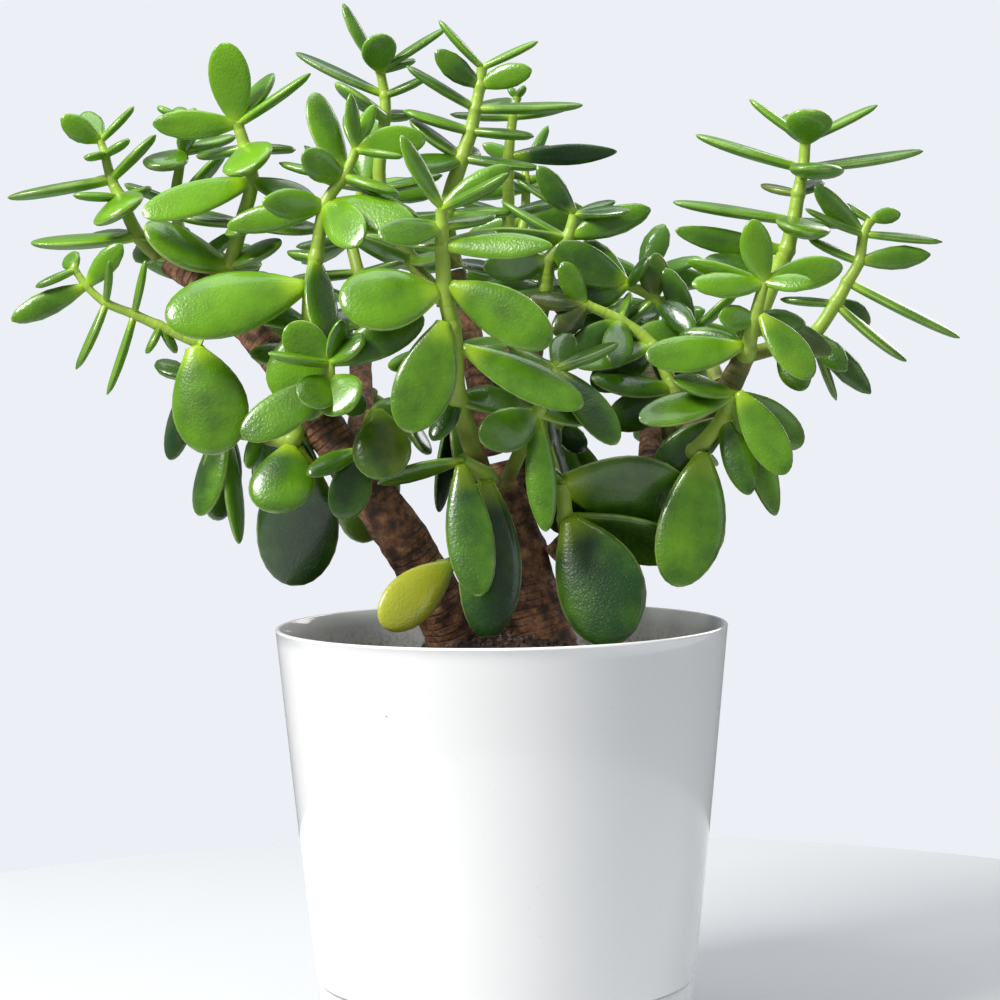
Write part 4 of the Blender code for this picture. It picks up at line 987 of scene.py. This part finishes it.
def leaf_points(name, leaves):
    """Leaf points with the values that the shoot tree reads."""
    mesh = bpy.data.meshes.new(name + " leaf points")
    mesh.from_pydata([(foot * MM) for foot, *_ in leaves], [], [])
    kinds = {
        "turn": "FLOAT_VECTOR", "size": "FLOAT_VECTOR", "rise": "FLOAT_VECTOR", "side": "FLOAT_VECTOR",
        "shape": "INT", "bow": "FLOAT", "dish": "FLOAT", "sway": "FLOAT", "tone_and_painted_light": "FLOAT", "blush": "FLOAT",
    }
    for key, kind in kinds.items():
        mesh.attributes.new(key, kind, "POINT")
    values = {key: mesh.attributes[key].data for key in kinds}
    for index, (foot, reach, width, face, growth, tone_and_painted_light) in enumerate(leaves):
        length = reach.length
        along, across, up = leaf_axes(reach, face, growth)
        side = up.cross(along)
        thick = width * LEAF_THICKNESS[0] + LEAF_THICKNESS[1]
        turn = Matrix((along, side, up)).transposed().to_euler()
        large = width >= 15 or length >= 40
        kind = 0 if width > 16 else (1 if luck(foot, 1) < 0.6 else 2)
        values["turn"][index].vector = turn
        values["size"][index].vector = (length * MM, width * MM, thick * MM)
        values["rise"][index].vector = up
        values["side"][index].vector = side
        values["shape"][index].value = kind + (0 if large else 3)
        values["bow"][index].value = (LEAF_BOW + 0.05 * (luck(foot, 2) - 0.5)) * length * MM
        values["dish"][index].value = (0.10 + 0.16 * luck(foot, 3)) * width * MM
        values["sway"][index].value = 0.07 * (luck(foot, 4) - 0.5) * length * MM
        # The brightness stored here is painted light and shade from where the leaf sits in the crown, plus a
        # random shift of the leaf's own green.
        values["tone_and_painted_light"][index].value = tone_and_painted_light + 0.22 * (luck(foot, 5) - 0.5)
        values["blush"][index].value = max(0.0, luck(foot, 6) - 0.9) * 4
    return mesh


def leaf_tone_with_painted_light(foot, reach):
    """How bright a leaf's green is: young high leaves bright and old low ones deep, with painted light and
    shade on top, so leaves high up, in front and on the outside of the crown are painted brighter and inner
    ones darker as painted shade.
    """
    height = (foot.z + 0.5 * reach.z - 240) / 150
    front = max(-1.0, min(1.0, -(foot.y + 0.5 * reach.y) / 45))
    outer = abs(foot.x) / 180
    return max(0.03, min(1.0, 0.20 + 0.42 * height + 0.22 * front + 0.18 * outer))


def plan_crown():
    """Stem points of every piece of wood and shoot, and every leaf that finds room, named ones first."""
    wood = {}
    paths = {}
    for name, points in WOOD.items():
        path = [leaned(point) for point in points]
        if name.startswith("branch"):
            path = clear_start(path, WOOD_SIDES, list(wood.values()))
        paths[name] = path
        wood[name] = tree_of(tube_mesh(path, WOOD_SIDES))
    solids = dict(wood)
    shoots = all_shoots()
    for name, (thick, thin, joints) in shoots.items():
        paths[name] = stem_points(thick, thin, joints, list(solids.values()))
        solids[name] = tree_of(tube_mesh(paths[name], STEM_SIDES))
    placed = []
    trees = []
    for own in (True, False):
        for shoot, (_, _, joints) in shoots.items():
            for index, (_, leaves) in enumerate(joints):
                foot = paths[shoot][index]
                before = Vector(paths[shoot][max(0, index - 1)][:3])
                after = Vector(paths[shoot][min(len(joints) - 1, index + 1)][:3])
                growth = (after - before).normalized()
                for leaf in leaves:
                    if (len(leaf) > 5) != own:
                        continue
                    strangers = [tree for key, tree in solids.items() if own or key != shoot]
                    strangers += [tree for key, tree in trees if own or key != shoot]
                    siblings = [tree for key, tree in trees if key == shoot]
                    room = foot[3] + LEAF_FOOT if own else -0.3 * foot[3]
                    found = fitted_leaf(foot[:3], leaf, growth, strangers, siblings, room)
                    if found is None:
                        continue
                    start, reach, width, face = found
                    name = leaf[5] if own else None
                    trees.append((name or shoot, tree_of(leaf_mesh(start, reach, width, face, growth))))
                    placed.append((shoot, name, start, reach, width, face, growth))
    return paths, placed


# Turned pieces


def turned(name, profile, steps=256):
    """A turned mesh from (radius, height) points that run from the axis over the outside and back."""
    mesh = bpy.data.meshes.new(name)
    edges = [(i, i + 1) for i in range(len(profile) - 1)]
    mesh.from_pydata([(r * MM, 0.0, z * MM) for r, z in profile], edges, [])
    holder = added(name + " profile", mesh)
    screw = holder.modifiers.new("Turn", "SCREW")
    screw.steps = steps
    screw.render_steps = steps
    screw.use_merge_vertices = True
    screw.merge_threshold = 0.000001
    mesh = settled(holder)
    work = bmesh.new()
    work.from_mesh(mesh)
    bmesh.ops.remove_doubles(work, verts=work.verts, dist=0.000001)
    bmesh.ops.recalc_face_normals(work, faces=work.faces)
    work.to_mesh(mesh)
    work.free()
    mesh.shade_smooth()
    mesh.set_sharp_from_angle(angle=math.radians(50))
    return mesh


def arc(centre, radius, start, end, count=7):
    """Points on an arc in the profile plane, angles in degrees from the outward direction."""
    turns = [math.radians(start + (end - start) * i / (count - 1)) for i in range(count)]
    return [(centre[0] + radius * math.cos(t), centre[1] + radius * math.sin(t)) for t in turns]


def pot_outside_radius(height):
    """The pot's outer radius at a height: a near straight taper, a little rounder low down."""
    drop = (RIM_HEIGHT - height) / RIM_HEIGHT
    return RIM_RADIUS - 18.0 * drop - 1.6 * drop ** 4


def colour(label, text, value):
    """A colour setting."""
    return bpy.props.FloatVectorProperty(
        name=label, description=text, subtype="COLOR", size=4, default=value, min=0.0, max=1.0)


class PlantPotSettings(bpy.types.PropertyGroup):
    """Sizes and colours of the pot and saucer."""

    plastic: colour("Plastic", "Colour of the pot and saucer", (0.86, 0.86, 0.855, 1.0))
    gloss: bpy.props.FloatProperty(
        name="Surface roughness", description="Lower is glossier", default=0.10, min=0.0, max=1.0)
    wall: bpy.props.FloatProperty(
        name="Wall", description="Thickness of the pot's wall",
        subtype="DISTANCE", unit="LENGTH", default=0.0022)


class PlantSoilSettings(bpy.types.PropertyGroup):
    """Amount and colours of the potting soil."""

    earth: colour("Moist soil", "Colour of moist soil", (0.030, 0.017, 0.014, 1.0))
    dry: colour("Dry soil", "Colour of the dry crumbs", (0.14, 0.085, 0.062, 1.0))
    density: bpy.props.FloatProperty(
        name="Crumbs", description="Crumbs on each square metre", default=110000.0, min=0.0)
    seed: bpy.props.IntProperty(
        name="Seed", description="Another seed strews the bits another way", default=7)


class PlantLeafSettings(bpy.types.PropertyGroup):
    """Colours of the leaves."""

    deep: colour("Deep green", "Colour of old, shaded leaves", (0.006, 0.042, 0.003, 1.0))
    bright: colour("Bright green", "Colour of young leaves in full light", (0.14, 0.34, 0.004, 1.0))
    yellow: colour("Fading leaf", "Colour of the leaf that has turned", (0.72, 0.72, 0.04, 1.0))
    gloss: bpy.props.FloatProperty(
        name="Surface roughness", description="Lower is glossier", default=0.24, min=0.0, max=1.0)


class PlantWoodSettings(bpy.types.PropertyGroup):
    """Colours of the bark."""

    bark: colour("Bark", "Main colour of the old bark", (0.30, 0.135, 0.065, 1.0))
    crack: colour("Cracks", "Colour in the rings and cracks", (0.060, 0.028, 0.018, 1.0))


class PlantStageSettings(bpy.types.PropertyGroup):
    """The floor and the lights."""

    floor: colour("Floor", "Colour of the plain floor", (0.62, 0.63, 0.65, 1.0))
    key: bpy.props.FloatProperty(
        name="Main light", description="Power of the main light", default=46.0, unit="POWER")
    wall: colour("Wall", "Pale colour behind the plant", (0.84, 0.87, 0.92, 1.0))
    surround: bpy.props.FloatProperty(
        name="Surround", description="Strength of the even light from all round",
        default=0.32, min=0.0, max=3.0)


class PLANT_OT_pot(bpy.types.Operator):
    """Make the pot with its rounded lip and drain holes"""

    bl_idname = "plant.pot"
    bl_label = "Pot"

    def execute(self, context):
        look = context.scene.plant_pot
        wall = look.wall / MM
        base = SAUCER_FLOOR + GAP
        foot_top = SAUCER_HEIGHT + 1.0
        foot = SAUCER_RADIUS - 3.4
        heights = [186.9 - (186.9 - 48) * i / 24 for i in range(25)]
        lip = pot_outside_radius(RIM_HEIGHT) - 1.1
        low = [48 - (48 - foot_top - 1.0) * i / 5 for i in range(1, 6)]
        edge = pot_outside_radius(foot_top + 1.0)
        profile = [
            (0.0, base + wall + 0.6), (foot - 8.0, base + wall + 0.6),
            *arc((foot - 8.0, base + wall + 5.2), 4.6, -90, -8, 8),
            *[(pot_outside_radius(z) - wall, z) for z in reversed(heights + low[:3])],
            *arc((lip, RIM_HEIGHT - 1.1), 1.1, 175, 5, 12),
            *[(pot_outside_radius(z), z) for z in heights + low],
            *arc((edge - 0.9, foot_top + 0.9), 0.9, 0, -90, 6),
            (foot, foot_top - 0.2), (foot - 1.2, base + 5.0),
            *arc((foot - 5.4, base + 4.2), 4.2, 0, -90, 8),
            (0.0, base),
        ]
        mesh = turned("pot", profile)
        body = added("pot", mesh)
        cutters = []
        for index in range(DRAIN_HOLES):
            angle = math.radians(45 + 360 * index / DRAIN_HOLES)
            work = bmesh.new()
            bmesh.ops.create_cone(
                work, cap_ends=True, segments=48, radius1=DRAIN_RADIUS * MM, radius2=DRAIN_RADIUS * MM,
                depth=0.02, matrix=Matrix.Translation((
                    DRAIN_CIRCLE * MM * math.cos(angle), DRAIN_CIRCLE * MM * math.sin(angle), base * MM)))
            hole = bpy.data.meshes.new("drain")
            work.to_mesh(hole)
            work.free()
            cutter = added("drain", hole)
            cut = body.modifiers.new("Drain", "BOOLEAN")
            cut.operation = "DIFFERENCE"
            cut.object = cutter
            cutters.append(cutter)
        mesh = settled(body)
        for cutter in cutters:
            bpy.data.objects.remove(cutter)
        mesh.materials.clear()
        mesh.materials.append(plastic_material("Glossy pot", look, 0.186))
        finish_piece("pot", mesh, ["pot"])
        return {"FINISHED"}


def plastic_material(name, look, soil_line):
    """Glossy white plastic; soil dust clings inside below the soil line."""
    material, tree, shader = new_material(name, Coat_Weight=0.5, Coat_Roughness=0.04, IOR=1.5)
    group = bpy.data.node_groups.get("Glossy moulding") or glaze_group()
    values = {"Plastic": look.plastic, "Gloss": look.gloss, "Soil line": soil_line}
    use_group(tree, shader, group, values, 0.00006)
    return material


class PLANT_OT_saucer(bpy.types.Operator):
    """Make the saucer that the pot stands in"""

    bl_idname = "plant.saucer"
    bl_label = "Saucer"

    def execute(self, context):
        top = SAUCER_HEIGHT
        out = SAUCER_RADIUS
        profile = [
            (0.0, SAUCER_FLOOR), (out - 8.5, SAUCER_FLOOR),
            *arc((out - 8.0, SAUCER_FLOOR + 4.0), 4.0, -90, -8, 7),
            (out - 2.4, top - 0.8), *arc((out - 1.2, top - 0.7), 0.7, 170, 10, 8),
            *[(out - 3.0 * (1 - math.sqrt(max(0.0, (z - 4.0) / (top - 5.0)))) ** 1.2, z)
              for z in (29, 25, 20, 15, 11, 8)],
            *arc((out - 7.2, 5.0), 5.0, 0, -90, 10),
            (0.0, 0.0),
        ]
        mesh = turned("saucer", profile)
        mesh.materials.append(plastic_material("Glossy saucer", context.scene.plant_pot, 0.0))
        finish_piece("saucer", mesh, ["saucer"])
        return {"FINISHED"}


def lump(name, size, seed, stretch=(1, 1, 1), detail=1):
    """A small uneven lump of a few faces."""
    work = bmesh.new()
    bmesh.ops.create_icosphere(work, subdivisions=detail, radius=size * MM)
    for vert in work.verts:
        wobble = 0.65 + 0.7 * noise.noise(vert.co * 700 + Vector((seed * 3.7, seed, 0)))
        vert.co = Vector([place * share for place, share in zip(vert.co, stretch)]) * (0.6 + wobble * 0.6)
    mesh = bpy.data.meshes.new(name)
    work.to_mesh(mesh)
    work.free()
    return bpy.data.objects.new(name, mesh)


def fibre(name, seed):
    """A short bent fibre."""
    points = []
    for step in range(6):
        bend = noise.noise_vector(Vector((seed * 7.1, step * 0.45, 1.3))) * 2.4
        points.append((step * 1.6 - 4 + bend.x, bend.y * 1.3, 0.5 + bend.z * 0.7, 0.16))
    return bpy.data.objects.new(name, tube_mesh(points, 4))


class PLANT_OT_soil(bpy.types.Operator):
    """Make the mounded soil and strew it with crumbs, fibres, chips and pale grains"""

    bl_idname = "plant.soil"
    bl_label = "Soil"

    def execute(self, context):
        look = context.scene.plant_soil
        wall = context.scene.plant_pot.wall / MM
        base = SAUCER_FLOOR + GAP + wall + 0.6 + GAP
        clear = wall + GAP + 0.4
        edge = pot_outside_radius(SOIL_EDGE_HEIGHT) - clear
        mound = []
        for index in range(40):
            radius = edge * index / 40
            rise = (SOIL_TOP_HEIGHT - SOIL_EDGE_HEIGHT) * math.exp(-((radius / 44.0) ** 4))
            mound.append((radius, SOIL_EDGE_HEIGHT + rise - 0.6))
        profile = mound + [(edge - 0.4, SOIL_EDGE_HEIGHT)]
        profile += [(pot_outside_radius(z) - clear, z) for z in (SOIL_EDGE_HEIGHT - 1.0, 130, 100, 70, 48)]
        profile += [(SAUCER_RADIUS - 8.0, base + 6.0), (SAUCER_RADIUS - 13.0, base), (0.0, base)]
        mesh = turned("soil", profile, 160)
        for vert in mesh.vertices:
            if vert.co.z > 0.1585 and vert.co.xy.length < edge * MM * 0.99:
                place = vert.co * 60
                rise = noise.fractal(place, 0.7, 2.1, 5) * 0.0022 + noise.noise(vert.co * 260) * 0.0008
                vert.co.z += rise * min(1.0, (edge * MM - vert.co.xy.length) * 120)
        material, tree, shader = new_material("Potting soil")
        group = earth_group()
        use_group(tree, shader, group, {"Earth": look.earth, "Dry": look.dry}, 0.0006)
        mesh.materials.append(material)
        bits = bits_tree()
        layers = (
            ("crumbs", [lump(f"crumb {i}", 1.0, i) for i in range(6)], look.density, 0.5, 1.7, 0.0, 0.9),
            ("clods", [lump(f"clod {i}", 2.6, i + 9, (1, 1, 0.8), 2) for i in range(3)],
             7000.0, 0.5, 1.3, 0.1, 0.7),
            ("chips", [lump(f"chip {i}", 1.8, i + 20, (1.7, 0.7, 0.4)) for i in range(3)],
             9000.0, 0.4, 1.5, 0.4, 1.3),
            ("fibres", [fibre(f"fibre {i}", i) for i in range(4)], 6500.0, 0.4, 1.1, 0.5, 1.35),
            ("grains", [lump(f"grain {i}", 0.7, i + 30) for i in range(3)], 3800.0, 0.4, 1.4, 1.7, 2.0),
        )
        meshes = [mesh]
        for number, (label, shapes, density, small, large, shade_from, shade_to) in enumerate(layers):
            group_of = bpy.data.collections.new(label)
            for shape in shapes:
                group_of.objects.link(shape)
            meshes.append(grow(label, mesh.copy(), bits, {
                "Bits": group_of, "Density": density, "Smallest": small, "Largest": large,
                "Shade from": shade_from, "Shade to": shade_to, "Seed": look.seed + number,
                "Finish": material,
            }))
        finish_piece("soil", merged("soil", meshes), ["soil"])
        return {"FINISHED"}


def merged(name, meshes):
    """Several meshes as one."""
    parts = [bpy.data.objects.new(name + " part", mesh) for mesh in meshes]
    for part in parts:
        bpy.context.scene.collection.objects.link(part)
    with bpy.context.temp_override(active_object=parts[0], selected_editable_objects=parts):
        bpy.ops.object.join()
    mesh = parts[0].data
    bpy.data.objects.remove(parts[0])
    return mesh


def bark_material(name, look, youngest, spacing, strength):
    """Bark or green stem, by how much of it is still young."""
    material, tree, shader = new_material(name)
    group = bpy.data.node_groups.get("Ringed stem") or bark_group()
    use_group(tree, shader, group, {
        "Dark": look.crack, "Mid": look.bark, "Young": youngest,
        "Ring spacing": spacing, "Ring strength": strength,
    }, 0.0009)
    return material


class PLANT_OT_wood(bpy.types.Operator):
    """Make the two trunks with their roots, and the branches"""

    bl_idname = "plant.wood"
    bl_label = "Trunks and branches"

    def execute(self, context):
        look = context.scene.plant_wood
        old = bark_material("Old bark", look, (0.25, 0.28, 0.06, 1), 3.2, 0.75)
        young = bark_material("Young bark", look, (0.20, 0.24, 0.05, 1), 4.2, 0.5)
        tree = bpy.data.node_groups.get("Leafy shoot") or shoot_tree()
        none = bpy.data.collections.new("No leaves")
        paths, _ = crown()
        for name in WOOD:
            trunk = name.startswith("trunk")
            curve = wire(smooth_path(paths[name], 10, 0.05, 2.5), name)
            for root in ROOTS.get(name, []):
                add_run(curve, smooth_path(root, 6))
            stem = added(name + " path", curve)
            mesh = grow(name, bpy.data.meshes.new(name), tree, {
                "Stem": stem, "Leaf shapes": none, "Stem sides": 40 if trunk else 28,
                "Unevenness": 0.0032 if trunk else 0.0016, "Youth at root": 0.0,
                "Youth at tip": 0.15 if trunk else 0.45, "Stem finish": old if trunk else young,
            })
            bpy.data.objects.remove(stem)
            finish_piece(name, mesh, [name])
        return {"FINISHED"}


PLAN = {}


def crown():
    """The crown's plan, worked out once."""
    if not PLAN:
        PLAN["crown"] = plan_crown()
    return PLAN["crown"]


def leaf_material(name, look, **changes):
    """Waxy leaf skin."""
    material, tree, shader = new_material(name, Coat_Weight=0.55, Coat_Roughness=0.14, IOR=1.45)
    group = bpy.data.node_groups.get("Leaf skin") or leaf_group()
    values = {"Deep": look.deep, "Bright": look.bright, "Gloss": look.gloss}
    values.update(changes)
    use_group(tree, shader, group, values, 0.00022)
    return material


class PLANT_OT_crown(bpy.types.Operator):
    """Grow the leafy shoots and the large leaves that are pieces of their own"""

    bl_idname = "plant.crown"
    bl_label = "Shoots and leaves"

    def execute(self, context):
        look = context.scene.plant_leaf
        wood = context.scene.plant_wood
        green = leaf_material("Jade leaf", look)
        fading = leaf_material(
            "Fading leaf", look, Deep=(0.42, 0.46, 0.03, 1), Bright=look.yellow, Foot=(0.30, 0.48, 0.04, 1),
            Under=(0.50, 0.48, 0.08, 1))
        stem_skin = bark_material("Green stem", wood, (0.34, 0.50, 0.055, 1), 6.0, 0.35)
        tree = bpy.data.node_groups.get("Leafy shoot") or shoot_tree()
        shapes = leaf_shapes()
        paths, placed = crown()
        for name in all_shoots():
            stem = added(name + " path", wire(smooth_path(paths[name], 12, 0.16, 1.5), name))
            # Each leaf's brightness includes painted light and shade from its place in the crown.
            leaves = [(foot, reach, width, face, growth, leaf_tone_with_painted_light(foot, reach))
                      for shoot, own, foot, reach, width, face, growth in placed
                      if shoot == name and own is None]
            mesh = grow(name, leaf_points(name, leaves), tree, {
                "Stem": stem, "Leaf shapes": shapes, "Stem sides": 16, "Unevenness": 0.0005,
                "Youth at root": 0.5, "Youth at tip": 1.0, "Stem finish": stem_skin, "Leaf finish": green,
            })
            bpy.data.objects.remove(stem)
            finish_piece(name, mesh, [name])
        for shoot, own, foot, reach, width, face, growth in placed:
            if own:
                back = reach.normalized() * (LEAF_FOOT + 0.8)
                leaf = (foot - back, reach + back, width, face, growth, leaf_tone_with_painted_light(foot, reach))
                stem = added(own + " path", bpy.data.curves.new(own, "CURVE"))
                yellow = own == "leaf_yellow"
                mesh = grow(own, leaf_points(own, [leaf]), tree, {
                    "Stem": stem, "Leaf shapes": shapes, "Leaf finish": fading if yellow else green,
                    "Stem finish": stem_skin,
                })
                bpy.data.objects.remove(stem)
                finish_piece(own, mesh, [own])
        return {"FINISHED"}


class PLANT_OT_stage(bpy.types.Operator):
    """Set the floor, the soft lights and the camera"""

    bl_idname = "plant.stage"
    bl_label = "Floor, lights and camera"

    def execute(self, context):
        look = context.scene.plant_stage
        scene = context.scene
        scene.view_settings.view_transform = "Standard"
        bpy.ops.mesh.primitive_cylinder_add(
            vertices=192, radius=FLOOR_RADIUS, depth=FLOOR_DEPTH, location=(0.0, 0.0, -FLOOR_DEPTH / 2))
        floor = bpy.context.object
        floor.name = "floor"
        material, tree, shader = new_material("Plain floor", Roughness=0.6)
        shader.inputs["Base Color"].default_value = look.floor
        floor.data.materials.append(material)
        world = bpy.data.worlds.new("Studio")
        scene.world = world
        world.use_nodes = True
        back = world.node_tree.nodes["Background"]
        back.inputs["Color"].default_value = (0.90, 0.94, 1.0, 1.0)
        studio = world.node_tree
        seen = add_node(studio, "ShaderNodeLightPath").outputs["Is Camera Ray"]
        wall = add_node(studio, "ShaderNodeBackground", {"Color": look.wall, "Strength": 1.0})
        either = add_node(studio, "ShaderNodeMixShader", {0: seen, 1: back.outputs[0], 2: wall.outputs[0]})
        studio.links.new(either.outputs[0], studio.nodes["World Output"].inputs["Surface"])
        back.inputs["Strength"].default_value = look.surround
        lights = (
            ("key", (-1.05, -0.75, 1.45), 0.55, look.key, (1.0, 0.985, 0.95)),
            ("sky", (0.0, 0.2, 1.7), 1.2, look.key * 0.26, (0.93, 0.97, 1.0)),
            ("fill", (1.4, -0.9, 0.6), 0.9, look.key * 0.05, (0.88, 0.94, 1.0)),
            ("rear", (0.9, 1.3, 1.0), 0.8, look.key * 0.16, (1.0, 0.98, 0.94)),
        )
        for name, place, size, power, colour in lights:
            lamp = bpy.data.lights.new(name, "AREA")
            lamp.size = size
            lamp.energy = power
            lamp.color = colour
            thing = added(name, lamp)
            thing.location = place
            thing.rotation_euler = (Vector((0, 0, 0.26)) - Vector(place)).to_track_quat("-Z", "Y").to_euler()
        lens = bpy.data.cameras.new("camera")
        lens.sensor_width = 36.0
        lens.lens = CAMERA_LENS
        camera = added("camera", lens)
        camera.location = CAMERA_PLACE
        tilt = Matrix.Rotation(math.radians(CAMERA_TILT), 3, "X")
        tilt = tilt @ Matrix.Rotation(math.radians(CAMERA_ROLL), 3, "Z")
        camera.rotation_euler = tilt.to_euler()
        scene.camera = camera
        return {"FINISHED"}


class PLANT_PT_panel(bpy.types.Panel):
    """Lists the plant's pieces and their settings"""

    bl_idname = "PLANT_PT_panel"
    bl_label = "Potted jade plant"
    bl_space_type = "VIEW_3D"
    bl_region_type = "UI"
    bl_category = "Plant"

    def draw(self, context):
        for settings, steps in STEPS:
            box = self.layout.box()
            owner = getattr(context.scene, settings)
            for field in owner.bl_rna.properties:
                if field.identifier not in {"rna_type", "name"}:
                    box.prop(owner, field.identifier)
            for step in steps:
                box.operator(step)


STEPS = (
    ("plant_pot", ("plant.pot", "plant.saucer")),
    ("plant_soil", ("plant.soil",)),
    ("plant_wood", ("plant.wood",)),
    ("plant_leaf", ("plant.crown",)),
    ("plant_stage", ("plant.stage",)),
)
SETTINGS = {
    "plant_pot": PlantPotSettings,
    "plant_soil": PlantSoilSettings,
    "plant_wood": PlantWoodSettings,
    "plant_leaf": PlantLeafSettings,
    "plant_stage": PlantStageSettings,
}
CLASSES = (
    *SETTINGS.values(), PLANT_OT_pot, PLANT_OT_saucer, PLANT_OT_soil, PLANT_OT_wood, PLANT_OT_crown,
    PLANT_OT_stage, PLANT_PT_panel,
)


def register():
    for kind in CLASSES:
        bpy.utils.register_class(kind)
    for name, kind in SETTINGS.items():
        setattr(bpy.types.Scene, name, bpy.props.PointerProperty(type=kind))


def unregister():
    for name in SETTINGS:
        delattr(bpy.types.Scene, name)
    for kind in reversed(CLASSES):
        bpy.utils.unregister_class(kind)


def main():
    register()
    bpy.ops.plant.pot()
    bpy.ops.plant.saucer()
    bpy.ops.plant.soil()
    bpy.ops.plant.wood()
    bpy.ops.plant.crown()
    bpy.ops.plant.stage()


if __name__ == "__main__":
    main()
